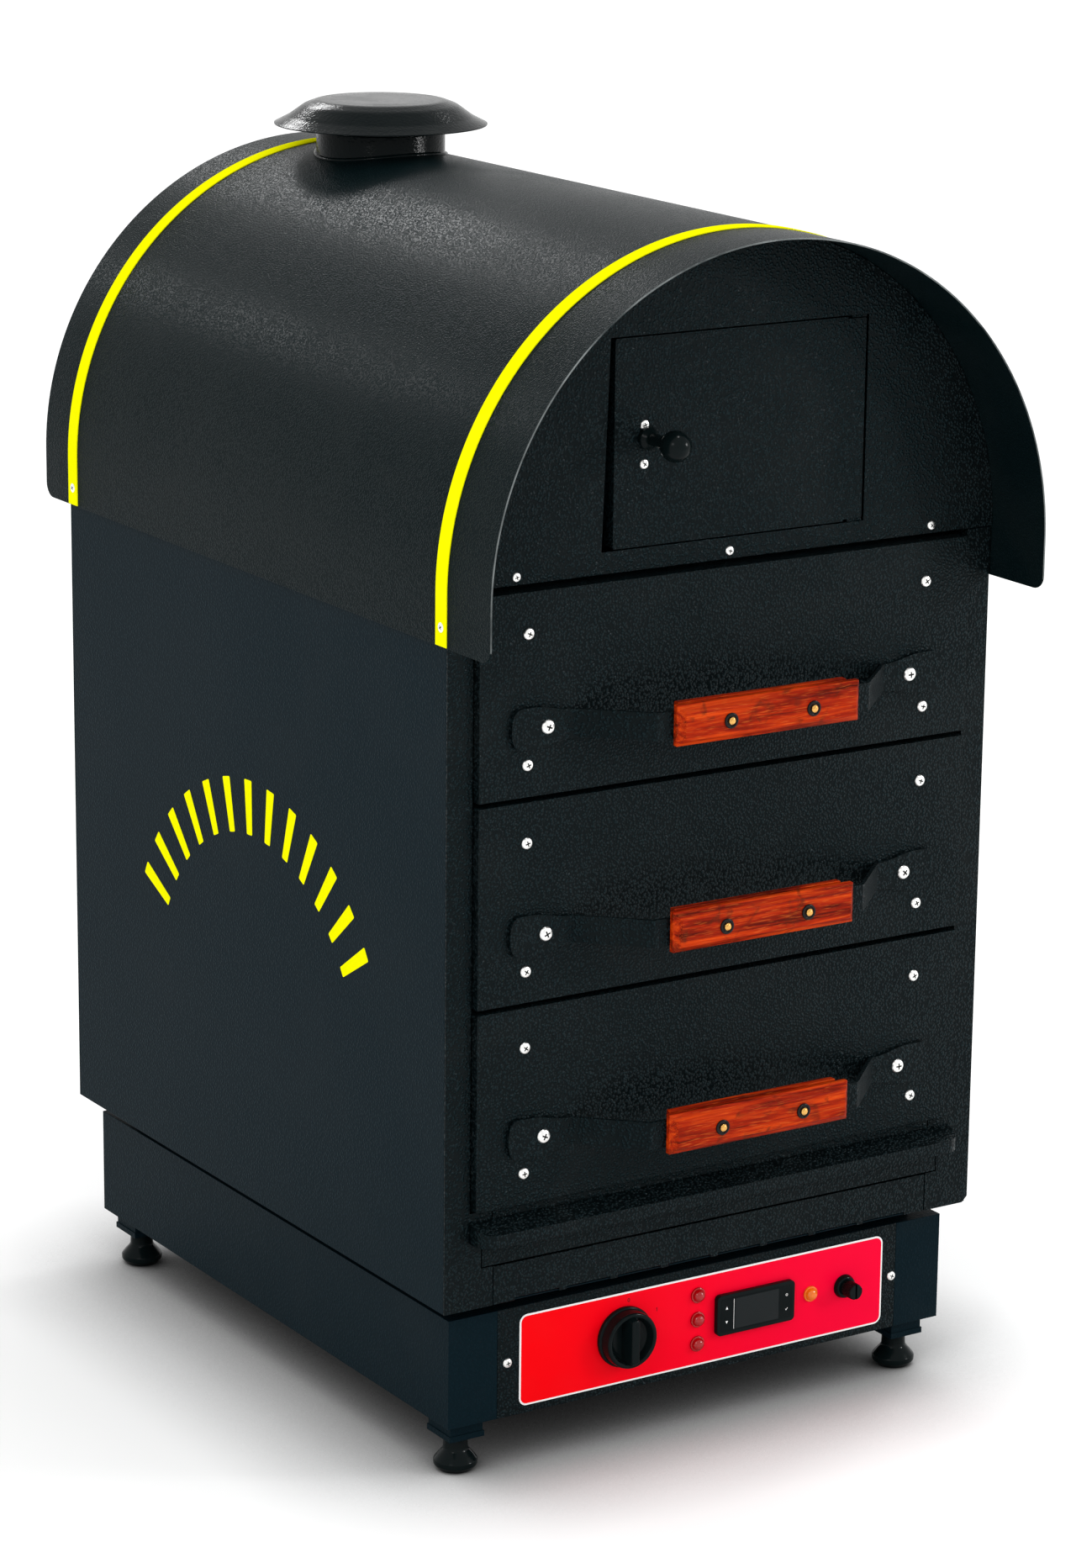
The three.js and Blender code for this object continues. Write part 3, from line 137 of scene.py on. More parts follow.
studio = {
    "floorSize": 60,
    "floorShade": 0.94,
    "floorLift": 0.19,  # extra white of the floor in camera, glossy and transmission rays
    "skyShade": 1.0,
    "shadowReach": 0.16,
    "shadowDepth": 1.5,  # power of the open share of the floor's surroundings, darker when higher
    "shadowRays": 8,
}
softboxes = {
    "softboxLeft": {"place": (-2.6, -1.9, 2.3), "aim": (0, 0, 0.5), "size": (0.8, 0.8), "watts": 14},
    "softboxRight": {"place": (2.6, -2.3, 1.5), "aim": (0, -0.2, 0.75), "size": (0.5, 0.9), "watts": 22},
    "softboxHigh": {"place": (2.6, 0.8, 3.2), "aim": (0, 0.1, 0.8), "size": (0.6, 0.6), "watts": 16},
}
# strips that only show in glossy surfaces and so leave the colours alone
sheenStrips = {
    "sheenBackLeft": {"place": (-1.3, 3.1, 2.2), "aim": (0, 0, 0.85), "size": (0.7, 0.3), "watts": 13},
    "sheenBackRight": {"place": (0.6, 3.1, 2.6), "aim": (0, 0, 0.9), "size": (0.8, 0.35), "watts": 19},
    "sheenRight": {"place": (2.4, -2.35, 1.55), "aim": (0, -0.2, 0.7), "size": (0.3, 0.45), "watts": 30},
    "sheenHigh": {"place": (0.25, -0.75, 3.2), "aim": (0, -0.3, 0.9), "size": (0.09, 0.11), "watts": 10},
}


def whiteToCamera(tree):
    path = addNode(tree, "LightPath").outputs
    seen = calc(tree, "MAXIMUM", path["Is Camera Ray"], path["Is Glossy Ray"])
    return calc(tree, "MAXIMUM", seen, path["Is Transmission Ray"])


def addWorld():
    world = bpy.data.worlds.new("studio world")
    world.use_nodes = True
    bpy.context.scene.world = world
    tree = world.node_tree
    feed(tree, tree.nodes["Background"], Color=(1, 1, 1, 1), Strength=studio["skyShade"])


def addFloor():
    bm = bmesh.new()
    bmesh.ops.create_grid(bm, x_segments=8, y_segments=8, size=studio["floorSize"] / 2)
    mesh = bpy.data.meshes.new("studio_floor")
    bm.to_mesh(mesh)
    bm.free()
    floor = bpy.data.objects.new("studio_floor", mesh)
    bpy.context.scene.collection.objects.link(floor)
    paper = bpy.data.materials.new("studio paper")
    paper.use_nodes = True
    tree = paper.node_tree
    near = addNode(tree, "AmbientOcclusion", {"samples": studio["shadowRays"]},
                   Distance=studio["shadowReach"])
    shadow = calc(tree, "POWER", near.outputs["AO"], studio["shadowDepth"])
    shade = calc(tree, "MULTIPLY", shadow, studio["floorShade"])
    grey = addNode(tree, "CombineColor", Red=shade, Green=shade, Blue=shade)
    lift = calc(tree, "MULTIPLY", whiteToCamera(tree), studio["floorLift"])
    glow = calc(tree, "MULTIPLY", lift, shadow)
    feed(tree, tree.nodes["Principled BSDF"], Base_Color=grey.outputs["Color"], Roughness=0.9,
         Specular_IOR_Level=0.0, Emission_Color=(1, 1, 1, 1), Emission_Strength=glow)
    mesh.materials.append(paper)


def addSoftbox(name, place, aim, size, watts, sheenOnly=False):
    lamp = bpy.data.lights.new(name, "AREA")
    lamp.shape = "RECTANGLE"
    lamp.size, lamp.size_y = size
    lamp.energy = watts
    box = bpy.data.objects.new(name, lamp)
    box.location = place
    box.rotation_euler = (Vector(aim) - Vector(place)).to_track_quat("-Z", "Y").to_euler()
    box.visible_diffuse = not sheenOnly
    bpy.context.scene.collection.objects.link(box)


addWorld()
addFloor()
for name, softbox in softboxes.items():
    addSoftbox(name, **softbox)
for name, strip in sheenStrips.items():
    addSoftbox(name, **strip, sheenOnly=True)
scene = bpy.context.scene
scene.view_settings.view_transform = "Standard"
print("studio set")


# Shader groups, shared by the finishes

class GroupMaker:
    def __init__(self, name, inputs, outputs):
        self.tree = bpy.data.node_groups.new(name, "ShaderNodeTree")
        for label, kind, value in inputs:
            socket = self.tree.interface.new_socket(label, in_out="INPUT", socket_type=kind)
            socket.default_value = value
        for label, kind in outputs:
            self.tree.interface.new_socket(label, in_out="OUTPUT", socket_type=kind)
        self.start = self.tree.nodes.new("NodeGroupInput")
        self.end = self.tree.nodes.new("NodeGroupOutput")

    def get(self, label):
        return self.start.outputs[label]

    def put(self, **outputs):
        feed(self.tree, self.end, **outputs)


number, colour, vector = "NodeSocketFloat", "NodeSocketColor", "NodeSocketVector"


def makePebbleGroup():
    # rounded pebbles of a textured powder coat, with painted shade darkening the creases between them
    group = GroupMaker(
        "pebble coat",
        [("Color", colour, (0.01, 0.01, 0.01, 1)), ("Pebbles per metre", number, 420.0),
         ("Crease shade", number, 0.5), ("Roughness", number, 0.4), ("Patch", number, 0.08)],
        [("Color", colour), ("Roughness", number), ("Height", number)],
    )
    tree, pitch = group.tree, group.get("Pebbles per metre")
    place = objectPlace(tree)
    drift = addNode(tree, "TexNoise", Vector=place, Scale=pitch, Detail=1.0)
    push = addNode(tree, "VectorMath", {"operation": "SCALE"}, i0=drift.outputs["Color"], Scale=1.1 * mm)
    moved = addNode(tree, "VectorMath", {"operation": "ADD"}, i0=place, i1=push.outputs[0])
    cells = addNode(tree, "TexVoronoi", {"feature": "SMOOTH_F1"}, Vector=moved.outputs[0], Scale=pitch,
                    Smoothness=0.35)
    dome = spread(tree, cells.outputs["Distance"], 0.12, 0.62, 1.0, 0.0, smooth=True)
    # painted shade: the colour is darkened in the creases between the pebbles
    shade = spread(tree, dome, 0.0, 1.0, group.get("Crease shade"), 1.0)
    clouds = calc(tree, "SUBTRACT", noise(tree, place, 7.0, Detail=4.0), 0.5)
    group.put(
        Color=blend(tree, 1.0, group.get("Color"), shade, "MULTIPLY"),
        Roughness=calc(tree, "MULTIPLY_ADD", clouds, group.get("Patch"), group.get("Roughness")),
        Height=dome,
    )
    return tree


def makeHandlingGroup():
    # faint smudges and dust that every handled surface carries
    group = GroupMaker(
        "handling marks",
        [("Color", colour, (0.5, 0.5, 0.5, 1)), ("Dust", number, 0.02), ("Roughness", number, 0.3),
         ("Smudge", number, 0.1), ("Marks per metre", number, 24.0)],
        [("Color", colour), ("Roughness", number)],
    )
    tree = group.tree
    smear = noise(tree, objectPlace(tree), group.get("Marks per metre"), Detail=6.0, Distortion=0.6)
    mask = spread(tree, smear, 0.42, 0.72, smooth=True)
    dust = calc(tree, "MULTIPLY", mask, group.get("Dust"))
    group.put(
        Color=blend(tree, dust, group.get("Color"), (0.45, 0.44, 0.42, 1)),
        Roughness=calc(tree, "MULTIPLY_ADD", mask, group.get("Smudge"), group.get("Roughness")),
    )
    return tree


def makeBrushedGroup():
    # long fine scratches of rolled or brushed sheet
    group = GroupMaker(
        "brushed sheet",
        [("Color", colour, (0.6, 0.6, 0.6, 1)), ("Roughness", number, 0.3),
         ("Stretch", vector, (4, 400, 400)), ("Streak", number, 0.12)],
        [("Color", colour), ("Roughness", number), ("Height", number)],
    )
    tree = group.tree
    lines = noise(tree, objectPlace(tree, group.get("Stretch")), 1.0, Detail=3.0)
    centred = calc(tree, "SUBTRACT", lines, 0.5)
    light = calc(tree, "MULTIPLY_ADD", centred, 0.35, 1.0)
    group.put(
        Color=blend(tree, 1.0, group.get("Color"), light, "MULTIPLY"),
        Roughness=calc(tree, "MULTIPLY_ADD", centred, group.get("Streak"), group.get("Roughness")),
        Height=lines,
    )
    return tree


pebbleCoat = makePebbleGroup()
handlingMarks = makeHandlingGroup()
brushedSheet = makeBrushedGroup()


# Finishes

def startFinish(name):
    material = bpy.data.materials.new(name)
    material.use_nodes = True
    return material, material.node_tree, material.node_tree.nodes["Principled BSDF"]


def placeGroup(tree, group, **values):
    node = tree.nodes.new("ShaderNodeGroup")
    node.node_tree = group
    feed(tree, node, **values)
    return node


def addMarks(tree, shader, **values):
    marks = placeGroup(tree, handlingMarks, **values)
    feed(tree, shader, Base_Color=marks.outputs["Color"], Roughness=marks.outputs["Roughness"])


def bumpFrom(tree, height, depth, **under):
    return addNode(tree, "Bump", Height=height, Strength=1.0, Distance=depth, **under).outputs["Normal"]


def powderCoat(name, color, pebbles, depth, roughness, level, crease, wave=0.0):
    material, tree, shader = startFinish(name)
    # painted shade: this sets how dark the creases between the pebbles are painted
    coat = placeGroup(tree, pebbleCoat, Color=(*color, 1), Pebbles_per_metre=pebbles, Roughness=roughness,
                      Crease_shade=crease)
    addMarks(tree, shader, Color=coat.outputs["Color"], Roughness=coat.outputs["Roughness"], Dust=0.006,
             Smudge=0.05, Marks_per_metre=9.0)
    under = {}
    if wave:
        under["Normal"] = bumpFrom(tree, noise(tree, objectPlace(tree), 5.0, Detail=1.0), wave)
    feed(tree, shader, Normal=bumpFrom(tree, coat.outputs["Height"], depth, **under),
         Specular_IOR_Level=level, Specular_Tint=(0.78, 0.95, 1, 1))
    return material


def hoodCoatPaintedEdgeHighlight():
    # the front edge of the hood is painted lighter in patches, a painted highlight along the edge
    material = powderCoat("hood coat", (0.0034, 0.0098, 0.0114), 620.0, 0.34 * mm, 0.29, 0.026, 0.65,
                          wave=1.5 * mm)
    tree = material.node_tree
    shader = tree.nodes["Principled BSDF"]
    place = objectPlace(tree)
    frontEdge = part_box("hood_sheet")[0].y
    depth = addNode(tree, "SeparateXYZ", Vector=place).outputs["Y"]
    edge = spread(tree, depth, frontEdge + 0.25 * mm, frontEdge + 0.6 * mm, 1.0, 0.0)
    highlightPatches = spread(tree, noise(tree, place, 9.0, Detail=5.0, Roughness=0.7), 0.36, 0.6)
    coat = shader.inputs["Base Color"].links[0].from_socket
    # painted highlight: a light grey is painted along the hood's front edge, broken into patches
    paintedHighlight = calc(tree, "MULTIPLY", edge, highlightPatches)
    feed(tree, shader, Base_Color=blend(tree, paintedHighlight, coat, (0.21, 0.23, 0.23, 1)))
    return material


def glossPaint(name, color, roughness, level, ripples, depth):
    material, tree, shader = startFinish(name)
    addMarks(tree, shader, Color=(*color, 1), Dust=0.004, Smudge=0.08, Roughness=roughness,
             Marks_per_metre=30.0)
    peel = noise(tree, objectPlace(tree), ripples, Detail=2.0)
    feed(tree, shader, Normal=bumpFrom(tree, peel, depth), Specular_IOR_Level=level)
    return material


def brushedMetal(name, color, roughness, stretch, depth):
    material, tree, shader = startFinish(name)
    sheet = placeGroup(tree, brushedSheet, Color=(*color, 1), Roughness=roughness, Stretch=stretch).outputs
    feed(tree, shader, Base_Color=sheet["Color"], Roughness=sheet["Roughness"], Metallic=1.0,
         Normal=bumpFrom(tree, sheet["Height"], depth))
    return material


def redFilm():
    # printed film, slightly pinker towards the right
    material, tree, shader = startFinish("red film")
    low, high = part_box("panel_overlay")
    across = addNode(tree, "SeparateXYZ", Vector=objectPlace(tree)).outputs["X"]
    share = spread(tree, across, low.x, high.x, smooth=True)
    shade = blend(tree, share, (0.96, 0.0006, 0.004, 1), (0.96, 0.0012, 0.038, 1))
    addMarks(tree, shader, Color=shade, Dust=0.003, Smudge=0.1, Roughness=0.34)
    feed(tree, shader, Specular_IOR_Level=0.03)
    return material


def varnishedWood():
    material, tree, shader = startFinish("varnished hardwood")
    place = objectPlace(tree)
    bands = noise(tree, objectPlace(tree, (9, 170, 170)), 1.0, Detail=5.0, Roughness=0.62, Distortion=0.5)
    ramp = addNode(tree, "ValToRGB", Fac=bands)
    tones = ramp.color_ramp.elements
    tones[0].position, tones[0].color = 0.34, (0.09, 0.004, 0.0008, 1)
    tones[1].position, tones[1].color = 0.66, (0.64, 0.056, 0.003, 1)
    tones.new(0.49).color = (0.33, 0.014, 0.001, 1)
    stains = noise(tree, place, 46.0, Detail=3.0, Distortion=1.2)
    stained = blend(tree, spread(tree, stains, 0.56, 0.74, 0.0, 0.72, smooth=True), ramp.outputs["Color"],
                    (0.09, 0.012, 0.003, 1))
    # lighter flecks along the grain: partly the wood's figure, partly painted glints
    grainAndGlintFlecks = noise(tree, objectPlace(tree, (90, 1500, 1500)), 1.0, Detail=1.0)
    flecked = blend(tree, spread(tree, grainAndGlintFlecks, 0.58, 0.72, 0.0, 0.45), stained, (0.66, 0.13, 0.018, 1))
    addMarks(tree, shader, Color=flecked, Dust=0.002, Smudge=0.2, Roughness=0.3, Marks_per_metre=60.0)
    feed(tree, shader, Normal=bumpFrom(tree, bands, 0.25 * mm), Specular_IOR_Level=0.05)
    return material


def lampLens(name, color):
    material, tree, shader = startFinish(name)
    addMarks(tree, shader, Color=(*color, 1), Dust=0.0, Smudge=0.05, Roughness=0.06, Marks_per_metre=90.0)
    feed(tree, shader, Transmission_Weight=0.1, IOR=1.49)
    return material


def woolWrap():
    material, tree, shader = startFinish("mineral wool")
    tangle = noise(tree, objectPlace(tree), 260.0, Detail=8.0, Roughness=0.8, Distortion=2.0)
    ramp = addNode(tree, "ValToRGB", Fac=tangle)
    ramp.color_ramp.elements[0].color = (0.30, 0.24, 0.12, 1)
    ramp.color_ramp.elements[1].color = (0.72, 0.66, 0.46, 1)
    feed(tree, shader, Base_Color=ramp.outputs["Color"], Normal=bumpFrom(tree, tangle, 2 * mm),
         Roughness=0.95)
    return material


# the last number of each powder coat is its painted crease shade
finishes = {
    "front_black": powderCoat("front coat", (0.0066, 0.0150, 0.0178), 440.0, 0.75 * mm, 0.31, 0.070, 0.2),
    "side_black": powderCoat("side coat", (0.0035, 0.0115, 0.0165), 430.0, 0.16 * mm, 0.42, 0.025, 0.8),
    "hood_black": hoodCoatPaintedEdgeHighlight(),
    "gloss_black": glossPaint("gloss black", (0.002, 0.0045, 0.005), 0.12, 0.06, 420.0, 0.3 * mm),
    "yellow_strip": glossPaint("yellow paint", (0.93, 0.93, 0.001), 0.5, 0.0, 300.0, 0.04 * mm),
    "red_fascia": redFilm(),
    "red_lens": lampLens("red lens", (0.42, 0.0015, 0.003)),
    "amber_lens": lampLens("amber lens", (0.95, 0.19, 0.004)),
    "black_plastic": glossPaint("black plastic", (0.0025, 0.0055, 0.006), 0.17, 0.07, 700.0, 0.03 * mm),
    "hardwood": varnishedWood(),
    "stainless": brushedMetal("stainless", (0.56, 0.56, 0.55), 0.3, (4, 520, 520), 0.03 * mm),
    "galvanised": brushedMetal("galvanised", (0.50, 0.52, 0.54), 0.42, (60, 90, 60), 0.04 * mm),
    "element_sheath": brushedMetal("element sheath", (0.13, 0.12, 0.105), 0.5, (200, 200, 200), 0.06 * mm),
    "mineral_wool": woolWrap(),
}
zinc = brushedMetal("zinc screw", (0.86, 0.86, 0.84), 0.3, (900, 900, 900), 0.02 * mm)
# painted shade: the cross recess of each screw is coloured near-black
recess = glossPaint("screw recess painted shade", (0.02, 0.02, 0.02), 0.6, 0.1, 900.0, 0.02 * mm)
brass = brushedMetal("brass", (0.72, 0.40, 0.11), 0.2, (900, 900, 900), 0.01 * mm)
blackSteel = glossPaint("blackened steel", (0.0045, 0.0045, 0.005), 0.2, 0.16, 900.0, 0.02 * mm)
whitePrint = glossPaint("white print", (0.90, 0.90, 0.90), 0.4, 0.2, 900.0, 0.01 * mm)
blackPrint = glossPaint("black print", (0.03, 0.004, 0.006), 0.5, 0.1, 900.0, 0.01 * mm)
darkGlass = glossPaint("dark glass", (0.002, 0.0045, 0.005), 0.1, 0.06, 60.0, 0.01 * mm)
screenGlass = glossPaint("screen glass", (0.0075, 0.011, 0.012), 0.16, 0.12, 60.0, 0.01 * mm)
print("finishes made:", len(finishes))


# Mesh helpers

front, left, right, rear = (0, -1, 0), (-1, 0, 0), (1, 0, 0), (0, 1, 0)


def placed(outward, point, up=(0, 0, 1)):
    # local Z points outward and local Y points up
    z = Vector(outward).normalized()
    x = Vector(up).cross(z).normalized()
    turn = Matrix((x, z.cross(x), z)).transposed().to_4x4()
    return Matrix.Translation(Vector(point)) @ turn


def nodeMiddle(node):
    low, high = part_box(node)
    return (low + high) / 2


def filleted(points, steps=5, closed=False):
    # points are (x, y) or (x, y, fillet radius)
    line = []
    count = len(points)
    for i, point in enumerate(points):
        radius = point[2] if len(point) > 2 else 0
        here = Vector(point[:2])
        if radius == 0 or (not closed and i in (0, count - 1)):
            line.append(tuple(here))
            continue
        back = Vector(points[i - 1][:2]) - here
        on = Vector(points[(i + 1) % count][:2]) - here
        half = back.angle(on) / 2
        reach = min(radius / tan(half), 0.499 * back.length, 0.499 * on.length)  # under half of each side
        radius = reach * tan(half)
        centre = here + (back.normalized() + on.normalized()).normalized() * (radius / sin(half))
        begin = here + back.normalized() * reach - centre
        finish = here + on.normalized() * reach - centre
        total = begin.angle(finish)
        turn = 1 if begin.cross(finish) > 0 else -1
        for k in range(steps + 1):
            part = turn * total * k / steps
            line.append((centre.x + begin.x * cos(part) - begin.y * sin(part),
                         centre.y + begin.x * sin(part) + begin.y * cos(part)))
    return line


def roundedBox(width, height, radius, steps=6, centre=(0, 0)):
    w, h = width / 2, height / 2
    corners = [(-w, -h, radius), (w, -h, radius), (w, h, radius), (-w, h, radius)]
    return [(x + centre[0], y + centre[1]) for x, y in filleted(corners, steps, closed=True)]


def ring(radius, steps, centre=(0, 0)):
    turns = [2 * pi * i / steps for i in range(steps)]
    return [(centre[0] + radius * cos(turn), centre[1] + radius * sin(turn)) for turn in turns]


def loft(rows, around=False):
    # skin over closed rows of points, shut at both ends or joined all the way around
    bm = bmesh.new()
    loops = [[bm.verts.new(point) for point in row] for row in rows]
    pairs = list(zip(loops, loops[1:]))
    if around:
        pairs.append((loops[-1], loops[0]))
    for a, b in pairs:
        for i in range(len(a)):
            bm.faces.new([a[i - 1], a[i], b[i], b[i - 1]])
    if not around:
        bm.faces.new(loops[0])
        bm.faces.new(loops[-1])
    bmesh.ops.recalc_face_normals(bm, faces=bm.faces)
    return bm


def sheetForm(outer, inner):
    # closed sheet between two grids of points
    bm = bmesh.new()
    top, under = [[[bm.verts.new(point) for point in row] for row in grid] for grid in (outer, inner)]
    last = len(outer[0]) - 1
    for grid in (top, under):
        for a, b in zip(grid, grid[1:]):
            for k in range(last):
                bm.faces.new([a[k], a[k + 1], b[k + 1], b[k]])
    for k in (0, last):
        for i in range(len(top) - 1):
            bm.faces.new([top[i][k], top[i + 1][k], under[i + 1][k], under[i][k]])
    for i in (0, -1):
        for k in range(last):
            bm.faces.new([top[i][k], top[i][k + 1], under[i][k + 1], under[i][k]])
    bmesh.ops.recalc_face_normals(bm, faces=bm.faces)
    return bm


def turnedForm(profile, sides=48):
    # profile points are (radius, height) along local Z
    tiny = 1e-7
    bm = bmesh.new()
    rows = []
    for radius, height in profile:
        if radius < tiny:
            rows.append([bm.verts.new((0, 0, height))])
        else:
            rows.append([bm.verts.new((x, y, height)) for x, y in ring(radius, sides)])
    for low, high in zip(rows, rows[1:]):
        for i in range(sides):
            j = (i + 1) % sides
            corners = [low[i % len(low)], low[j % len(low)], high[j % len(high)], high[i % len(high)]]
            corners = list(dict.fromkeys(corners))
            if len(corners) > 2:
                bm.faces.new(corners)
    bmesh.ops.remove_doubles(bm, verts=bm.verts, dist=tiny)
    bmesh.ops.recalc_face_normals(bm, faces=bm.faces)
    return bm


def slab(outline, low, high, holes=()):
    # flat plate between two heights along local Z
    if not holes:
        return loft([[(x, y, z) for x, y in outline] for z in (low, high)])
    bm = bmesh.new()
    edges = []
    for line in (outline, *holes):
        loop = [bm.verts.new((x, y, low)) for x, y in line]
        edges += [bm.edges.new((loop[i - 1], loop[i])) for i in range(len(loop))]
    filled = bmesh.ops.triangle_fill(bm, edges=edges, use_beauty=True)
    faces = [f for f in filled["geom"] if isinstance(f, bmesh.types.BMFace)]
    raised = bmesh.ops.extrude_face_region(bm, geom=faces)
    verts = [v for v in raised["geom"] if isinstance(v, bmesh.types.BMVert)]
    bmesh.ops.translate(bm, verts=verts, vec=(0, 0, high - low))
    bmesh.ops.recalc_face_normals(bm, faces=bm.faces)
    return bm


def joined(*forms):
    whole = forms[0]
    for form in forms[1:]:
        mesh = bpy.data.meshes.new("part")
        form.to_mesh(mesh)
        whole.from_mesh(mesh)
        form.free()
        bpy.data.meshes.remove(mesh)
    return whole


def meshFrom(bm, name, sharp=35):
    mesh = bpy.data.meshes.new(name)
    bm.to_mesh(mesh)
    bm.free()
    mesh.shade_smooth()
    mesh.set_sharp_from_angle(angle=radians(sharp))
    return mesh


def addPiece(name, form, body, slot, material=None, matrix=None, hides=(), sharp=35):
    mesh = meshFrom(form, name, sharp) if isinstance(form, bmesh.types.BMesh) else form
    piece = bpy.data.objects.new(name, mesh)
    bpy.context.scene.collection.objects.link(piece)
    if matrix is not None:
        piece.matrix_world = matrix
    if not mesh.materials:
        mesh.materials.append(material or finishes[slot])
    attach(piece, body)
    if hides:
        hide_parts(*hides)
    return piece


def roundEdges(piece, width, segments=2, angle=35):
    bevel = piece.modifiers.new("rounded edges", "BEVEL")
    bevel.width = width
    bevel.segments = segments
    bevel.limit_method = "ANGLE"
    bevel.angle_limit = radians(angle)
    even = piece.modifiers.new("even shading", "WEIGHTED_NORMAL")
    even.keep_sharp = False


def cutForm(bm, cutters, name, sharp):
    # bm less the cutters, as a mesh
    things = []
    for form in (bm, *cutters):
        thing = bpy.data.objects.new("cut", meshFrom(form, "cut"))
        bpy.context.scene.collection.objects.link(thing)
        things.append(thing)
    body = things[0]
    for tool in things[1:]:
        take = body.modifiers.new("cut", "BOOLEAN")
        take.operation = "DIFFERENCE"
        take.solver = "EXACT"
        take.object = tool
    bpy.context.view_layer.update()
    mesh = bpy.data.meshes.new_from_object(body.evaluated_get(bpy.context.evaluated_depsgraph_get()))
    mesh.name = name
    for thing in things:
        spare = thing.data
        bpy.data.objects.remove(thing)
        bpy.data.meshes.remove(spare)
    mesh.shade_smooth()
    mesh.set_sharp_from_angle(angle=radians(sharp))
    return mesh


# Arched hood and its yellow bands

hoodLow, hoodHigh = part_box("hood_sheet")
hood = {
    "sheet": 1.2 * mm,
    "corner": 12 * mm,
    "cornerRows": 7,
    "arcSteps": 112,
    "columns": 28,
    "edge": 0.35 * mm,
    "bandInset": 0.55 * mm,
    "overrun": 50 * mm,
    "sharp": 60,
}
hoodRadius = hoodHigh.x
archCentre = hoodHigh.z - hoodRadius


def archSheet(radius, bottom, ends, corner, columns):
    # sheet bent over the arch, with straight skirts and rounded lower corners
    skirt = archCentre - bottom
    rows = []
    if corner:
        rows += [corner * (1 - cos(pi / 2 * i / hood["cornerRows"])) for i in range(hood["cornerRows"])]
    rows += [corner, (corner + skirt) / 2]
    arc = pi * radius
    rows += [skirt + arc * i / hood["arcSteps"] for i in range(hood["arcSteps"] + 1)]
    rows += [2 * skirt + arc - s for s in reversed(rows[:-hood["arcSteps"] - 1])]

    def layer(shift):
        lines = []
        for s in rows:
            nearEnd = min(s, 2 * skirt + arc - s)
            inset = 0
            if nearEnd < corner:
                inset = corner - sqrt(corner ** 2 - (corner - nearEnd) ** 2)
            if s <= skirt:
                x, z = -(radius - shift), bottom + s
            elif s >= skirt + arc:
                x, z = radius - shift, bottom + 2 * skirt + arc - s
            else:
                angle = (s - skirt) / radius
                x, z = -(radius - shift) * cos(angle), archCentre + (radius - shift) * sin(angle)
            width = ends[1] - ends[0] - 2 * inset
            lines.append([(x, ends[0] + inset + width * k / columns, z) for k in range(columns + 1)])
        return lines

    return sheetForm(layer(0), layer(hood["sheet"]))


pipeLow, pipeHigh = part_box("flue_pipe")
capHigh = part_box("flue_cap")[1]
flueY = nodeMiddle("flue_cap").y
flue = {
    "radius": 55 * mm,
    "wall": 1.5 * mm,
    "edgeShare": 0.45,
    "collar": 17 * mm,
    "collarRise": 1.5 * mm,
    "collarFoot": 8.2 * mm,
    "gap": 0.6 * mm,
    "bead": 2.2 * mm,
    "beadGap": 0.4 * mm,
    "sides": 96,
    "beadSides": 10,
}


def addHood():
    sheet = archSheet(hoodRadius, hoodLow.z, (hoodLow.y, hoodHigh.y), hood["corner"], hood["columns"])
    hole = ring(flue["radius"] + flue["gap"], flue["sides"], (0, flueY))
    skin = cutForm(sheet, [slab(hole, archCentre, hoodHigh.z + hood["overrun"])], "hood", 50)
    piece = addPiece("hood_skin", skin, "cabinet", "hood_black", hides=["hood_sheet"])
    roundEdges(piece, hood["edge"], 1, hood["sharp"])
    for place in ("front", "rear"):
        low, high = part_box("strap_" + place)
        band = archSheet(high.x - hood["bandInset"], low.z, (low.y, high.y), 0, 2)
        piece = addPiece(f"band_{place}", band, "cabinet", "yellow_strip", hides=["strap_" + place],
                         sharp=hood["sharp"])
        roundEdges(piece, hood["edge"], 2, hood["sharp"])


# Flue pipe, its sealing bead and the rain cap

cap = {
    "sheet": 1.2 * mm,
    "rim": capHigh.x,
    "height": 20 * mm,
    "sides": 112,
    "legWidth": 14 * mm,
    "legThickness": 2 * mm,
    "legCorner": 0.5 * mm,
    "legGap": 1 * mm,
    "legDepth": 18 * mm,
    "legCount": 3,
}
# radius as a share of the rim, height as a share of the cap, fillet as a share of the rim
capShapeShares = [
    (1.0, 0.0, 0.0), (0.955, 0.10, 0.06), (0.87, 0.30, 0.22), (0.72, 0.79, 0.22), (0.60, 0.985, 0.2),
    (0.42, 1.0, 0.5), (0.0, 1.0, 0.0),
]


def addPipe():
    inner, outer = flue["radius"] - flue["wall"], flue["radius"]
    collar = flue["radius"] + flue["collar"]
    foot = pipeLow.z + flue["collarFoot"]
    top = foot + flue["collarRise"]
    edge = flue["wall"] * flue["edgeShare"]
    pipe = turnedForm(filleted([
        (inner, pipeLow.z), (outer, pipeLow.z), (outer, foot), (collar, foot), (collar, top), (outer, top),
        (outer, pipeHigh.z, edge), (inner, pipeHigh.z, edge), (inner, pipeLow.z),
    ], 3), flue["sides"])
    pipe.transform(Matrix.Translation((0, flueY, 0)))
    addPiece("flue_tube", pipe, "cabinet", "hood_black", finishes["gloss_black"], hides=["flue_pipe"])
    rows = []
    section = ring(flue["bead"], flue["beadSides"])
    for x, y in ring(outer + flue["beadGap"], flue["sides"]):
        away = Vector((x, y, 0)).normalized()
        middle = Vector((x, flueY + y, archCentre + sqrt(hoodRadius ** 2 - x ** 2)))
        rows.append([middle + away * across + Vector((0, 0, up)) for across, up in section])
    addPiece("flue_seal", loft(rows, around=True), "cabinet", "hood_black", finishes["gloss_black"], sharp=60)


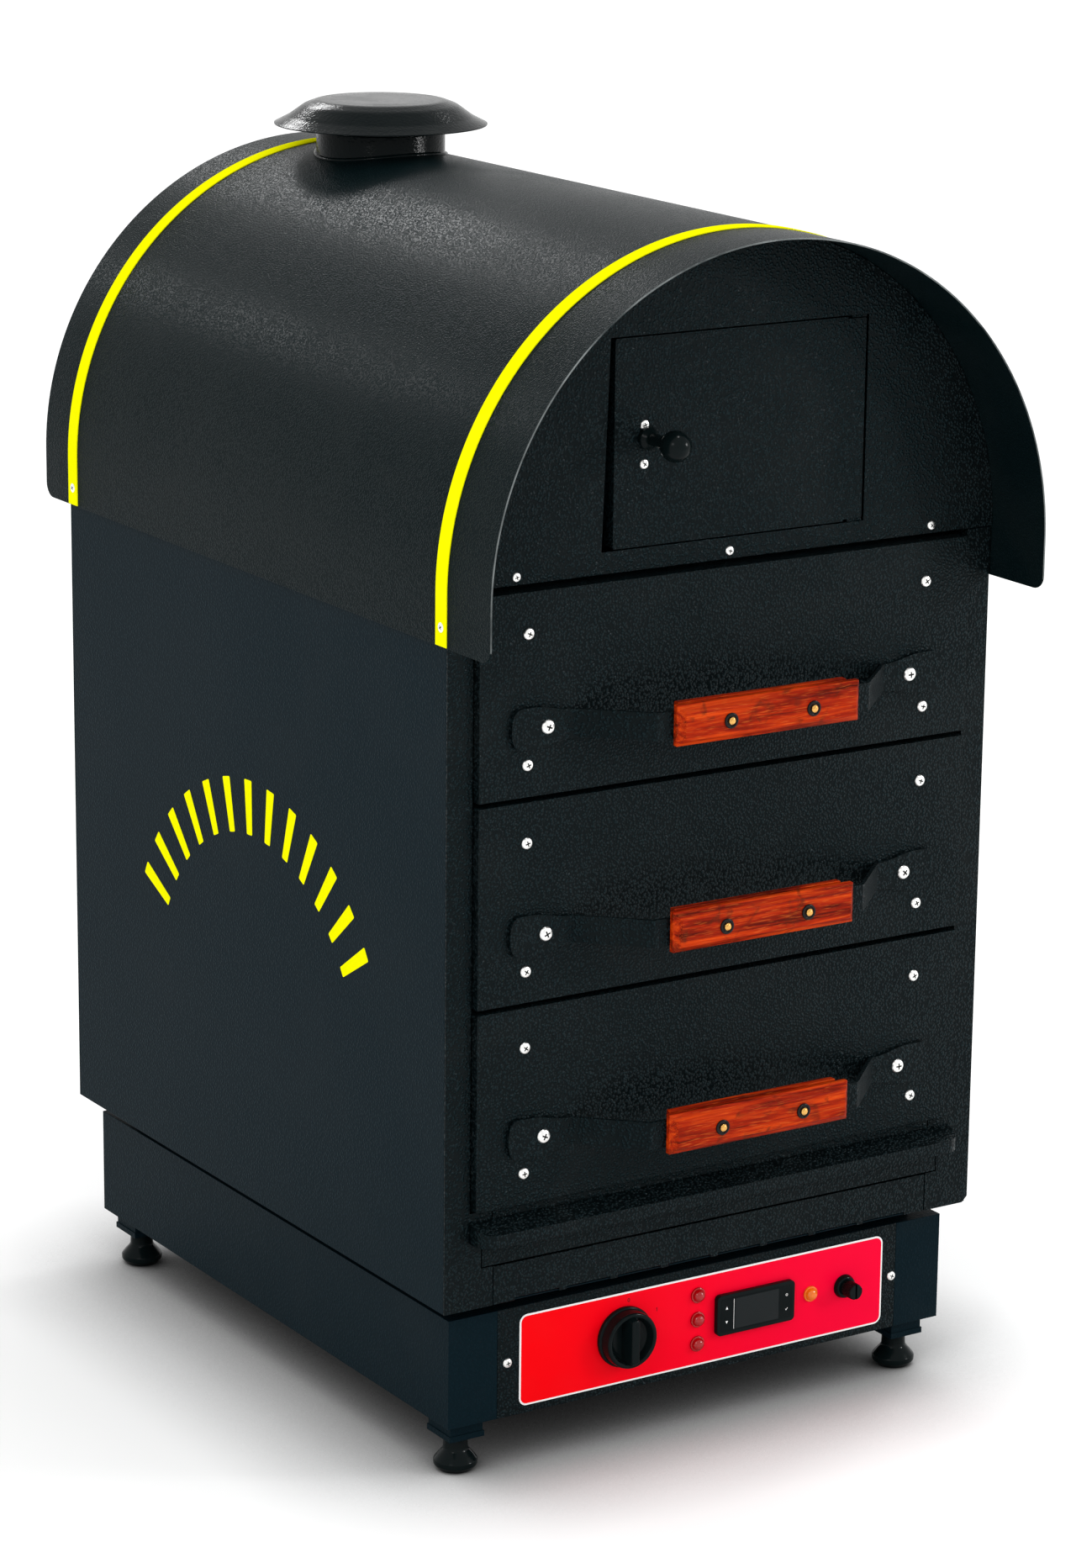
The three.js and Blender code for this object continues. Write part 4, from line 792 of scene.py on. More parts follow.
def addCap():
    rim, height = cap["rim"], cap["height"]
    rimZ = capHigh.z - height
    outline = filleted([(r * rim, rimZ + h * height, f * rim) for r, h, f in capShapeShares], 7)
    under = [(max(r - 0.35 * cap["sheet"], 0) if r else 0, z - cap["sheet"]) for r, z in reversed(outline)]
    under[-1] = (outline[0][0], outline[0][1] - 0.7 * cap["sheet"])
    forms = [turnedForm([*outline, *under, outline[0]], cap["sides"])]
    legX = flue["radius"] - flue["wall"] - cap["legGap"] - cap["legThickness"] / 2
    for i in range(cap["legCount"]):
        leg = slab(roundedBox(cap["legThickness"], cap["legWidth"], cap["legCorner"], 2, (legX, 0)),
                   pipeHigh.z - cap["legDepth"], capHigh.z - 1.5 * cap["sheet"])
        leg.transform(Matrix.Rotation(2 * pi * i / cap["legCount"], 4, "Z"))
        forms.append(leg)
    whole = joined(*forms)
    whole.transform(Matrix.Translation((0, flueY, 0)))
    addPiece("rain_cap", whole, "cabinet", "gloss_black", hides=["flue_cap"], sharp=50)


addHood()
addPipe()
addCap()
print("hood and flue made")


# Screws

# sizes as shares of the head's radius
screwShares = {
    "foot": 0.12,  # half hidden in what the head sits on
    "recessFloor": 0.12,
    "recessTop": 0.47,
    "recessReach": 0.55,
    "armFoot": (0.6, 0.14),
    "armTop": (1.12, 0.26),
    "armHeight": 0.7,
}


def makeScrewMesh():
    # pan head of unit radius with a cross recess, scaled by its user
    s = screwShares
    head = turnedForm(filleted([
        (0, -s["foot"]), (0.97, -s["foot"]), (1.0, s["foot"], 0.08),
        (0.86, 0.36, 0.3), (0.42, 0.50, 0.4), (0, 0.52),
    ], 4), 36)
    arms = []
    for turn in (0, pi / 2):
        arm = loft([
            [(x, y, z) for x, y in roundedBox(*size, 0)]
            for size, z in ((s["armFoot"], s["recessFloor"]), (s["armTop"], s["armHeight"]))
        ])
        arm.transform(Matrix.Rotation(turn, 4, "Z"))
        arms.append(arm)
    mesh = cutForm(head, arms, "screw_head", 30)
    mesh.materials.append(zinc)
    mesh.materials.append(recess)
    # faces inside the cross recess take the painted recess shade
    for face in mesh.polygons:
        x, y, z = face.center
        if 0.1 < z < s["recessTop"] and x * x + y * y < s["recessReach"] ** 2:
            face.material_index = 1
    return mesh


screwMesh = makeScrewMesh()


def addScrew(name, body, outward, point, radius, spin, flat=1.0):
    size = Matrix.Diagonal((radius, radius, radius * flat, 1))
    matrix = placed(outward, point) @ Matrix.Rotation(spin, 4, "Z") @ size
    addPiece(name, screwMesh, body, "galvanised", zinc, matrix)


# Drawers: handle bars, wooden grips, their bolts and the screws of each front

levels = ("lower", "middle", "upper")
handle = {
    "strip": 3 * mm,
    "barHalf": 11 * mm,
    "tabHalf": 16.5 * mm,
    "tabLength": 58 * mm,
    "slopeRun": 46 * mm,
    "bend": 3 * mm,
    "bendSteps": 8,
    "station": 3.5 * mm,
    "endRound": 10 * mm,
    "endPower": 2.4,
    "endStations": 9,
    "taperStart": 20 * mm,
    "taperEnd": 56 * mm,
    "rows": 10,
    "edge": 0.8 * mm,
    "screwInset": 32 * mm,
    "screwRadius": 5.8 * mm,
}
grip = {
    "chamfer": 5.5 * mm,
    "backChamfer": 2 * mm,
    "corner": 0.6 * mm,
    "worn": 0.6 * mm,
    "boltX": 38.8 * mm,
    "boltHead": 3.4 * mm,
    "washer": 6.2 * mm,
    "washerDepth": 1.4 * mm,
    "nut": 3.1 * mm,
    "nutSkirt": 2.2 * mm,
    "nutShoulder": 3.3 * mm,
    "nutTop": 3.4 * mm,
}
drawerScrew = {"x": 187 * mm, "low": 25.5 * mm, "high": 128.2 * mm, "radius": 4.75 * mm}


def bendLine(points):
    # plan line with rounded bends, cut into short even steps
    line = filleted([(x, y, handle["bend"]) for x, y in points], handle["bendSteps"])
    even = [Vector(line[0])]
    for a, b in zip(line, line[1:]):
        a, b = Vector(a), Vector(b)
        pieces = max(1, round((b - a).length / handle["station"]))
        even += [a.lerp(b, k / pieces) for k in range(1, pieces + 1)]
    return even


def handleForm(low, high):
    tabY, barY = high.y - handle["strip"] / 2, low.y + handle["strip"] / 2
    tabInner = high.x - handle["tabLength"]
    barOuter = tabInner - handle["slopeRun"]
    line = bendLine([
        (low.x, tabY), (-tabInner, tabY), (-barOuter, barY),
        (barOuter, barY), (tabInner, tabY), (high.x, tabY),
    ])
    travel = [0.0]
    for a, b in zip(line, line[1:]):
        travel.append(travel[-1] + (b - a).length)
    # finer stations at both rounded ends
    count, endRound = handle["endStations"], handle["endRound"]
    stations = [endRound * (1 - cos(pi / 2 * i / count)) for i in range(count)]
    inner = [s for s in travel if endRound <= s <= travel[-1] - endRound]
    stations = [*stations, *inner, *[travel[-1] - s for s in reversed(stations)]]

    def at(s):
        i = max(j for j in range(len(travel) - 1) if travel[j] <= s + 1e-9)
        span = travel[i + 1] - travel[i]
        part = min(max((s - travel[i]) / span, 0), 1)
        heading = (line[i + 1] - line[i]).normalized()
        return line[i].lerp(line[i + 1], part), Vector((-heading.y, heading.x))

    def halfHeight(s):
        near = min(s, travel[-1] - s)
        taper = min(max((near - handle["taperStart"]) / (handle["taperEnd"] - handle["taperStart"]), 0), 1)
        taper = taper * taper * (3 - 2 * taper)
        half = handle["tabHalf"] + (handle["barHalf"] - handle["tabHalf"]) * taper
        if near < endRound:
            power = handle["endPower"]
            half *= max(1 - (1 - near / endRound) ** power, 0.0) ** (1 / power)
        return max(half, 0.25 * handle["barHalf"])

    middle, rows = (low.z + high.z) / 2, handle["rows"]
    sheets = []
    for side in (1, -1):
        lines = []
        for s in stations:
            point, normal = at(s)
            x, y = point + normal * side * handle["strip"] / 2
            half = halfHeight(s)
            lines.append([(x, y, middle + half * (2 * k / rows - 1)) for k in range(rows + 1)])
        sheets.append(lines)
    return sheetForm(*sheets)


def gripForm(low, high, chamfer, outward):
    # block with its outer face bevelled all round
    size = high - low
    full, small = [roundedBox(size.x - cut, size.z - cut, grip["corner"], 2) for cut in (0, 2 * chamfer)]
    rows = ((full, 0), (full, size.y - chamfer), (small, size.y))
    form = loft([[(x, y, depth) for x, y in line] for line, depth in rows])
    back = high.y if outward == front else low.y
    form.transform(placed(outward, ((low.x + high.x) / 2, back, (low.z + high.z) / 2)))
    return form


def washerForm():
    radius, depth = grip["washer"], grip["washerDepth"]
    return turnedForm(filleted([
        (0, 0), (radius, 0), (radius, depth, 0.6 * mm), (radius * 0.72, depth, 0.4 * mm),
        (radius * 0.66, depth / 2), (0, depth / 2),
    ], 4), 40)


def domeNutForm():
    radius = grip["nut"]
    return turnedForm(filleted([
        (0, 0), (radius, 0), (radius, grip["nutSkirt"], 0.5 * mm),
        (radius * 0.6, grip["nutShoulder"], 1.2 * mm), (0, grip["nutTop"]),
    ], 6), 36)


washerMesh = meshFrom(washerForm(), "grip_washer", 40)
nutMesh = meshFrom(domeNutForm(), "dome_nut", 40)


def addGripHalf(level, part, chamfer, outward):
    body, node = "drawer_" + level, f"grip_{part}_{level}"
    low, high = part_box(node)
    form = gripForm(low, high, chamfer, outward)
    wood = addPiece(f"wood_{part}_{level}", form, body, "hardwood", hides=[node])
    roundEdges(wood, grip["worn"], 3, 30)
    face = low.y if outward == front else high.y
    for side, x in (("left", -grip["boltX"]), ("right", grip["boltX"])):
        at = (x, face, (low.z + high.z) / 2)
        seat = placed(outward, at)
        addPiece(f"washer_{part}_{side}_{level}", washerMesh, body, "galvanised", blackSteel, seat)
        if part == "front":
            addPiece(f"nut_{side}_{level}", nutMesh, body, "galvanised", brass, seat)
        else:
            addScrew(f"bolt_{side}_{level}", body, outward, at, grip["boltHead"], 0.7)


def addDrawer(index, level):
    body, node = "drawer_" + level, "handle_bar_" + level
    low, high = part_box(node)
    bar = addPiece("handle_" + level, handleForm(low, high), body, "front_black", hides=[node], sharp=50)
    roundEdges(bar, handle["edge"], 2, 50)
    addGripHalf(level, "front", grip["chamfer"], front)
    addGripHalf(level, "back", grip["backChamfer"], rear)
    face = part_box("drawer_front_" + level)[0]
    for side, sign in (("left", -1), ("right", 1)):
        for height in ("low", "high"):
            rise = drawerScrew[height]
            addScrew(f"front_screw_{height}_{side}_{level}", body, front,
                     (sign * drawerScrew["x"], face.y, face.z + rise), drawerScrew["radius"],
                     0.4 + 0.9 * index + 0.5 * sign + 8 * rise)
        at = (sign * (high.x - handle["screwInset"]), high.y - handle["strip"], (low.z + high.z) / 2)
        addScrew(f"handle_screw_{side}_{level}", body, front, at, handle["screwRadius"],
                 0.6 + 0.8 * index + sign)


for index, level in enumerate(levels):
    addDrawer(index, level)
print("drawers made")


# Screws of the cabinet

bandFoot = {"rise": 14.6 * mm, "radius": 3.9 * mm, "seat": 0.62 * mm, "flat": 0.28}
archScrew = {"x": 195 * mm, "rise": 6.5 * mm, "radius": 3.9 * mm}
doorScrew = {"x": -81 * mm, "heights": (809.6 * mm, 840 * mm), "radius": 4.0 * mm}
panelScrew = {"x": (-186 * mm, 191 * mm), "z": 92.3 * mm, "radius": 4.1 * mm}
rearScrew = {"inset": 9 * mm, "rows": 4, "radius": 3.9 * mm}


def addCabinetScrews():
    for place in ("front", "rear"):
        low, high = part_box("strap_" + place)
        middle = (low.y + high.y) / 2
        for side, outward, x in (("left", left, low.x), ("right", right, high.x)):
            seat = Vector((x, middle, low.z + bandFoot["rise"])) - Vector(outward) * bandFoot["seat"]
            addScrew(f"band_screw_{place}_{side}", "cabinet", outward, seat, bandFoot["radius"], 0.5,
                     bandFoot["flat"])
    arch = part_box("arch_panel")[0]
    for i, x in enumerate((-archScrew["x"], 0, archScrew["x"])):
        addScrew(f"arch_screw_{i}", "cabinet", front, (x, arch.y, arch.z + archScrew["rise"]),
                 archScrew["radius"], 0.3 + i)
    doorY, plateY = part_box("door")[0].y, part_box("control_panel")[0].y
    for i, z in enumerate(doorScrew["heights"]):
        addScrew(f"door_screw_{i}", "warming_door", front, (doorScrew["x"], doorY, z),
                 doorScrew["radius"], 0.9 + i)
    for i, x in enumerate(panelScrew["x"]):
        addScrew(f"panel_screw_{i}", "cabinet", front, (x, plateY, panelScrew["z"]),
                 panelScrew["radius"], 0.2 + i)
    low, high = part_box("rear_panel")
    for side, x in (("left", low.x + rearScrew["inset"]), ("right", high.x - rearScrew["inset"])):
        for i in range(rearScrew["rows"]):
            z = low.z + (high.z - low.z) * (i + 0.5) / rearScrew["rows"]
            addScrew(f"rear_screw_{side}_{i}", "cabinet", rear, (x, high.y, z), rearScrew["radius"], i)


addCabinetScrews()


# Red fascia with its white edge, dial marks, lamps, controller face, knob and fuse

overlayLow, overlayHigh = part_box("panel_overlay")
fascia = {
    "corner": 7 * mm,
    "edge": 1.6 * mm,
    "white": 0.5 * mm,
    "lampHole": 4.8 * mm,
    "fuseHole": 6.6 * mm,
    "knobHole": 3.6 * mm,
    "controllerHole": (71 * mm, 29 * mm, 1 * mm),
}
lampNodes = ("lamp_red_upper", "lamp_red_middle", "lamp_red_lower", "lamp_amber")


def addFascia():
    middle = nodeMiddle("panel_overlay")
    size = overlayHigh - overlayLow

    def onFilm(node):
        return nodeMiddle(node).x - middle.x, nodeMiddle(node).z - middle.z

    holes = [ring(fascia["lampHole"], 28, onFilm(node)) for node in lampNodes]
    holes.append(ring(fascia["fuseHole"], 28, onFilm("fuse_holder")))
    holes.append(ring(fascia["knobHole"], 24, onFilm("selector_knob")))
    holes.append(roundedBox(*fascia["controllerHole"], 2, onFilm("controller")))
    layers = (
        ("fascia_edge", 0, 0, fascia["white"], whitePrint, ["panel_overlay"]),
        ("fascia_film", fascia["edge"], fascia["white"], size.y, finishes["red_fascia"], []),
    )
    for name, inset, back, face, material, hides in layers:
        outline = roundedBox(size.x - 2 * inset, size.z - 2 * inset, fascia["corner"] - inset, 8)
        form = slab(outline, back, face, holes)
        form.transform(placed(front, (middle.x, overlayHigh.y, middle.z)))
        addPiece(name, form, "cabinet", "red_fascia", material, hides=hides)


dialMarks = {
    "zero": (-71.9 * mm, 123.2 * mm),
    "one": (-44.4 * mm, 109.8 * mm),
    "height": 3.4 * mm,
    "width": 2.2 * mm,
    "stroke": 0.5 * mm,
    "thickness": 0.08 * mm,
}


def addDialMarks():
    stroke, height, width = dialMarks["stroke"], dialMarks["height"], dialMarks["width"]
    outer, inner = [
        [(x * (width / 2 - cut), y * (height / 2 - cut)) for x, y in ring(1, 28)] for cut in (0, stroke)
    ]
    zero = slab(outer, 0, dialMarks["thickness"], [inner])
    one = slab([
        (stroke / 2, -height / 2), (stroke / 2, height / 2), (-stroke / 4, height / 2),
        (-width * 0.36, height * 0.28), (-width * 0.3, height * 0.18), (-stroke / 2, height * 0.3),
        (-stroke / 2, -height / 2),
    ], 0, dialMarks["thickness"])
    for label, form in (("zero", zero), ("one", one)):
        x, z = dialMarks[label]
        form.transform(placed(front, (x, overlayLow.y, z)))
        addPiece(f"dial_mark_{label}", form, "cabinet", "red_fascia", blackPrint)


seatGap = 0.3 * mm
lamp = {
    "flange": 6.6 * mm,
    "flangeDepth": 1.6 * mm,
    "flangeRound": 0.6 * mm,
    "dome": 5.4 * mm,
    "domeDepth": 4.6 * mm,
    "domeSteps": 9,
    "domeStep": 0.1 * mm,
    "shank": 4.4 * mm,
}


def addLamps():
    flange, depth, steps = lamp["flange"], lamp["flangeDepth"], lamp["domeSteps"]
    turns = [pi / 2 * i / steps for i in range(steps)]
    dome = [(lamp["dome"] * cos(turn), depth + lamp["domeDepth"] * sin(turn)) for turn in turns]
    for node in lampNodes:
        middle, back = nodeMiddle(node), overlayLow.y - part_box(node)[1].y
        profile = filleted([
            (0, back), (lamp["shank"], back), (lamp["shank"], 0), (flange, 0),
            (flange, depth, lamp["flangeRound"]), (lamp["dome"] + lamp["domeStep"], depth),
        ], 4)
        form = turnedForm([*profile, *dome, (0, depth + lamp["domeDepth"])], 40)
        form.transform(placed(front, (middle.x, overlayLow.y - seatGap, middle.z)))
        kind = "amber_lens" if node.endswith("amber") else "red_lens"
        addPiece(node.replace("lamp", "lens"), form, "cabinet", kind, hides=[node], sharp=30)


controllerFace = {
    "inset": 3.2 * mm,
    "corner": 2.4 * mm,
    "glass": 0.15 * mm,
    "screenWidth": 43 * mm,
    "screenHeight": 26 * mm,
    "screenShift": 0.5 * mm,
    "screenCorner": 0.6 * mm,
    "screenDepth": 0.05 * mm,
    "print": 0.06 * mm,
    "line": 0.35 * mm,
    "lineGap": 1.5 * mm,
    "leftKeys": -29.5 * mm,
    "rightKeys": 30 * mm,
    "keyRise": 6.2 * mm,
    "mark": 2.4 * mm,
}


def keyMarks():
    # arrows and a dividing line at the left, a tick and a ring at the right
    box = controllerFace
    level, m, t, keyUp = box["glass"], box["mark"] / 2, box["line"], box["keyRise"]
    lineX = box["screenShift"] - box["screenWidth"] / 2 - box["lineGap"]
    x, far = box["leftKeys"], box["rightKeys"]
    outlines = [
        [(x - m, keyUp - m), (x + m, keyUp - m), (x, keyUp + m)],
        [(x - m, m - keyUp), (x, -keyUp - m), (x + m, m - keyUp)],
        roundedBox(t, box["screenHeight"], 0.1 * mm, 1, (lineX, 0)),
        [(far - m, -keyUp), (far - m + t, -keyUp + t), (far - 0.3 * m, -keyUp - m + 2 * t),
         (far + m - t, -keyUp + m), (far + m, -keyUp + m - t), (far - 0.3 * m, -keyUp - m)],
        ring(m * 0.9, 20, (far, keyUp)),
    ]
    holes = [(), (), (), (), [ring(m * 0.55, 20, (far, keyUp))]]
    top = level + box["print"]
    return joined(*(slab(outline, level, top, inside) for outline, inside in zip(outlines, holes)))


def addController():
    low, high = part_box("controller")
    box, margin, level = controllerFace, 2 * controllerFace["inset"], controllerFace["glass"]
    glass = slab(roundedBox(high.x - low.x - margin, high.z - low.z - margin, box["corner"], 4), 0, level)
    outline = roundedBox(box["screenWidth"], box["screenHeight"], box["screenCorner"], 2,
                         (box["screenShift"], 0))
    screen = slab(outline, level, level + box["screenDepth"])
    for name, form, slot, material in (
        ("glass", glass, "black_plastic", darkGlass),
        ("screen", screen, "black_plastic", screenGlass),
        ("marks", keyMarks(), "red_fascia", whitePrint),
    ):
        form.transform(placed(front, ((low.x + high.x) / 2, low.y, (low.z + high.z) / 2)))
        addPiece("controller_" + name, form, "cabinet", slot, material)


selector = {
    "skirt": 25.6 * mm,
    "skirtDepth": 3.5 * mm,
    "face": 23.4 * mm,
    "rim": 14 * mm,
    "dish": 18.8 * mm,
    "floor": 6.2 * mm,
    "barWidth": 9.6 * mm,
    "barLength": 42 * mm,
    "barRoot": 1 * mm,
    "barSlope": 5 * mm,
    "bore": 3.4 * mm,
    "boreDepth": 5.4 * mm,
    "edge": 0.9 * mm,
    "line": (0.7 * mm, 9 * mm, 0.3 * mm),
    "lineInset": 9 * mm,
    "lineDepth": 0.02 * mm,
}


def addSelectorKnob():
    low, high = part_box("selector_knob")
    s = selector
    depth = high.y - low.y
    profile = filleted([
        (s["bore"], 0), (s["skirt"], 0, 0.5 * mm), (s["skirt"], s["skirtDepth"], 1.2 * mm),
        (s["face"] + 0.6 * mm, s["skirtDepth"] + 0.4 * mm, 0.6 * mm), (s["face"], s["rim"], 2.2 * mm),
        (s["dish"] + 1.2 * mm, s["rim"], 1.6 * mm), (s["dish"] - 1.4 * mm, s["floor"] + 1.2 * mm, 1.2 * mm),
        (s["dish"] - 4.2 * mm, s["floor"], 1.6 * mm), (0, s["floor"]),
    ], 5)
    body = turnedForm([(0, s["boreDepth"]), (s["bore"], s["boreDepth"]), *profile], 72)
    rows = []
    levelsAlong = ((s["floor"] - s["barRoot"], 1.28, 0), (s["rim"], 1.0, 0), (depth, 0.74, s["barSlope"]))
    for z, widening, shorter in levelsAlong:
        width = s["barWidth"] * widening
        rows.append([(x, y, z) for x, y in roundedBox(width, s["barLength"] - shorter, width * 0.4, 5)])
    lineMiddle = (0, s["barLength"] / 2 - s["lineInset"])
    line = slab(roundedBox(*s["line"], 2, lineMiddle), depth, depth + s["lineDepth"])
    matrix = placed(front, ((low.x + high.x) / 2, high.y, (low.z + high.z) / 2))
    form = joined(body, loft(rows))
    form.transform(matrix)
    line.transform(matrix)
    piece = addPiece("dial_knob", form, "knob", "black_plastic", hides=["selector_knob"], sharp=40)
    roundEdges(piece, s["edge"], 3, 38)
    addPiece("dial_line", line, "knob", "black_plastic", darkGlass)


fuse = {
    "bezel": 10.4 * mm,
    "bezelFront": 8.9 * mm,
    "socket": 5.2 * mm,
    "socketDepth": 12 * mm,
    "shank": 6.2 * mm,
    "cap": 7 * mm,
    "ribs": 22,
    "ribDepth": 0.45 * mm,
    "slotWidth": 1.8 * mm,
    "slotLength": 18 * mm,
    "slotDepth": 1.7 * mm,
    "overrun": 2 * mm,
    "stem": 4.2 * mm,
    "stemLength": 8 * mm,
}


def addFuseSocket():
    low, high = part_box("fuse_holder")
    seat = overlayLow.y - seatGap
    depth, back = seat - low.y, seat - high.y
    floor = depth - fuse["socketDepth"]
    form = turnedForm(filleted([
        (fuse["socket"], floor), (0, floor), (0, back), (fuse["shank"], back), (fuse["shank"], 0),
        (fuse["bezel"], 0, 0.4 * mm), (fuse["bezelFront"], depth, 1.6 * mm),
        (fuse["socket"], depth, 0.5 * mm), (fuse["socket"], floor),
    ], 5), 48)
    form.transform(placed(front, ((low.x + high.x) / 2, seat, (low.z + high.z) / 2)))
    addPiece("fuse_socket", form, "cabinet", "black_plastic", hides=["fuse_holder"], sharp=40)


def addFuseCap():
    middle = nodeMiddle("fuse_holder")
    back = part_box("fuse_holder")[0].y - seatGap
    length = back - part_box("fuse_cap")[0].y
    radius, sides = fuse["cap"], fuse["ribs"] * 4
    # place along the cap, radius there, and whether it is ribbed
    levelsAlong = [
        (-fuse["stemLength"], fuse["stem"], False), (0, fuse["stem"], False), (0, radius * 0.94, False),
        (0.5 * mm, radius, True), (length - 1.6 * mm, radius * 0.97, True),
        (length - 0.5 * mm, radius * 0.92, False), (length, radius * 0.84, False),
    ]
    rows = []
    for along, reach, ribbed in levelsAlong:
        reaches = [reach - (fuse["ribDepth"] if ribbed and i % 4 > 1 else 0) for i in range(sides)]
        rows.append([(x * r, y * r, along) for (x, y), r in zip(ring(1, sides), reaches)])
    groove = slab(roundedBox(fuse["slotWidth"], fuse["slotLength"], 0),
                  length - fuse["slotDepth"], length + fuse["overrun"])
    mesh = cutForm(loft(rows), [groove], "fuse_cap_skin", 30)
    mesh.transform(placed(front, (middle.x, back, middle.z)))
    addPiece("fuse_cap_skin", mesh, "cap_of_fuse", "black_plastic", hides=["fuse_cap"])


addFascia()
addDialMarks()
addLamps()
addController()
addSelectorKnob()
addFuseSocket()
addFuseCap()
print("control panel made")


# Thin rim that narrows the gaps round the door

doorLip = {
    "reach": 1.5 * mm,  # past the door's top and bottom
    "hingeReach": 0.8 * mm,  # past its hinged edge, where the swing needs room
    "hingeClear": 17 * mm,
    "inset": 0.15 * mm,
    "thickness": 1.2 * mm,
    "root": 0.6 * mm,
}


def addDoorLip():
    low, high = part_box("door")
    door = nodes["door"]
    corners = [door.matrix_world @ v.co for v in door.data.vertices]
    y, far = low.y + doorLip["inset"], low.y + doorLip["inset"] + doorLip["thickness"]
    root = doorLip["root"]
    # each strip is its two ends along X, then its bottom and top
    strips = [(high.x - root, high.x + doorLip["hingeReach"], low.z + root, high.z - root)]
    for edge, outward in ((low.z, -1), (high.z, 1)):
        begin = min(p.x for p in corners if abs(p.z - edge) < root) + root
        bottom, top = sorted((edge - outward * root, edge + outward * doorLip["reach"]))
        strips.append((begin, high.x - doorLip["hingeClear"], bottom, top))
    forms = [slab([(a, y), (b, y), (b, far), (a, far)], bottom, top) for a, b, bottom, top in strips]
    addPiece("door_lip", joined(*forms), "warming_door", "front_black")


# Door knob and levelling feet

doorKnob = {
    "base": 9 * mm,
    "baseDepth": 3 * mm,
    "cone": 4 * mm,
    "neck": 5.2 * mm,
    "ball": 12.4 * mm,
    "centre": 38 * mm,
    "ballSteps": 18,
}


def addDoorKnob():
    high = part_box("door_knob")[1]
    k = doorKnob
    startAngle = acos(k["neck"] / k["ball"])
    neckEnd = k["centre"] - k["ball"] * sin(startAngle)
    profile = filleted([
        (0, 0), (k["base"], 0, 0.4 * mm), (k["base"], k["baseDepth"], 1.4 * mm),
        (k["neck"], k["baseDepth"] + k["cone"], 3 * mm), (k["neck"], neckEnd - 0.4 * mm),
    ], 5)
    for i in range(1, k["ballSteps"]):
        angle = -startAngle + (pi / 2 + startAngle) * i / k["ballSteps"]
        profile.append((k["ball"] * cos(angle), k["centre"] + k["ball"] * sin(angle)))
    profile.append((0, k["centre"] + k["ball"]))
    form = turnedForm(profile, 56)
    centre = nodeMiddle("door_knob")
    form.transform(placed(front, (centre.x, high.y, centre.z)))
    addPiece("door_pull", form, "warming_door", "black_plastic", hides=["door_knob"], sharp=50)


footShape = {
    "sole": 0.6 * mm,
    "rim": 13.5 * mm,
    "rimHeight": 4.5 * mm,
    "flange": 17.8 * mm,
    "flangeHeight": 8.5 * mm,
    "waist": 14.6 * mm,
    "waistHeight": 12.5 * mm,
    "dome": 17.5 * mm,
    "neck": 10.2 * mm,
    "neckMiddle": 9.9 * mm,
    "stud": 5 * mm,
    "studRise": 26 * mm,
    "studEnd": 1 * mm,
    "studChamfer": 0.6 * mm,
    "threads": 12,
    "threadDepth": 0.5 * mm,
}


def addFoot(corner):
    f = footShape
    node = "foot_" + corner
    low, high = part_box(node)
    height = high.z - low.z
    neckTop = height - f["studRise"]
    profile = filleted([
        (0, f["sole"]), (f["rim"] * 0.8, f["sole"]), (f["rim"] * 0.86, 0), (f["rim"], 0, 1.5 * mm),
        (f["flange"], f["rimHeight"], 2.4 * mm), (f["flange"], f["flangeHeight"], 2 * mm),
        (f["waist"], f["waistHeight"], 2 * mm), (f["neck"], f["dome"], 5 * mm),
        (f["neckMiddle"], (f["dome"] + neckTop) / 2, 30 * mm), (f["neck"], neckTop),
    ], 6)
    profile.append((f["stud"], neckTop))
    flanks = 2 * f["threads"]
    pitch = (f["studRise"] - f["studEnd"]) / flanks
    for i in range(1, flanks):
        dip = f["threadDepth"] if i % 2 else 0
        profile.append((f["stud"] - dip, neckTop + i * pitch))
    profile += [(f["stud"] - f["studChamfer"], height), (0, height)]
    form = turnedForm(profile, 48)
    centre = nodeMiddle(node)
    form.transform(Matrix.Translation((centre.x, centre.y, low.z)))
    addPiece("leveller_" + corner, form, corner + "_foot", "black_plastic", hides=[node], sharp=40)


addDoorLip()
addDoorKnob()
for corner in ("front_left", "front_right", "rear_left", "rear_right"):
    addFoot(corner)


# Heating elements: one bent tube each

element = {"legs": 4, "pitch": 96 * mm, "rearTurn": 90 * mm, "tube": 4 * mm, "bendSteps": 12, "sides": 14}


def elementPath(low, high):
    bend, legs, steps = element["pitch"] / 2, element["legs"], element["bendSteps"]
    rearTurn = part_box("oven_liner")[1].y - element["rearTurn"]
    frontTurn = low.y + element["tube"] + bend
    points = []
    for leg in range(legs):
        x = (leg - (legs - 1) / 2) * element["pitch"]
        forward = leg % 2 == 0
        rearEnd = high.y if leg in (0, legs - 1) else rearTurn
        ends = (rearEnd, frontTurn) if forward else (frontTurn, rearEnd)
        points += [(x, ends[0]), (x, (ends[0] + ends[1]) / 2), (x, ends[1])]
        if leg < legs - 1:
            way = -1 if forward else 1
            for i in range(1, steps):
                angle = pi * i / steps
                points.append((x + bend - bend * cos(angle), ends[1] + way * bend * sin(angle)))
    return points


def addElement(level):
    node = "heater_" + level
    low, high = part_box(node)
    z = (low.z + high.z) / 2
    points = [Vector(point) for point in elementPath(low, high)]
    rows = []
    section = ring(element["tube"], element["sides"])
    for i, point in enumerate(points):
        heading = (points[min(i + 1, len(points) - 1)] - points[max(i - 1, 0)]).normalized()
        side = Vector((-heading.y, heading.x))
        rows.append([(*(point + side * across), z + up) for across, up in section])
    addPiece("element_" + level, loft(rows), "cabinet", "element_sheath", hides=[node], sharp=60)


addElement("lower")
addElement("upper")


# Plain yellow bars in an arc on the left side

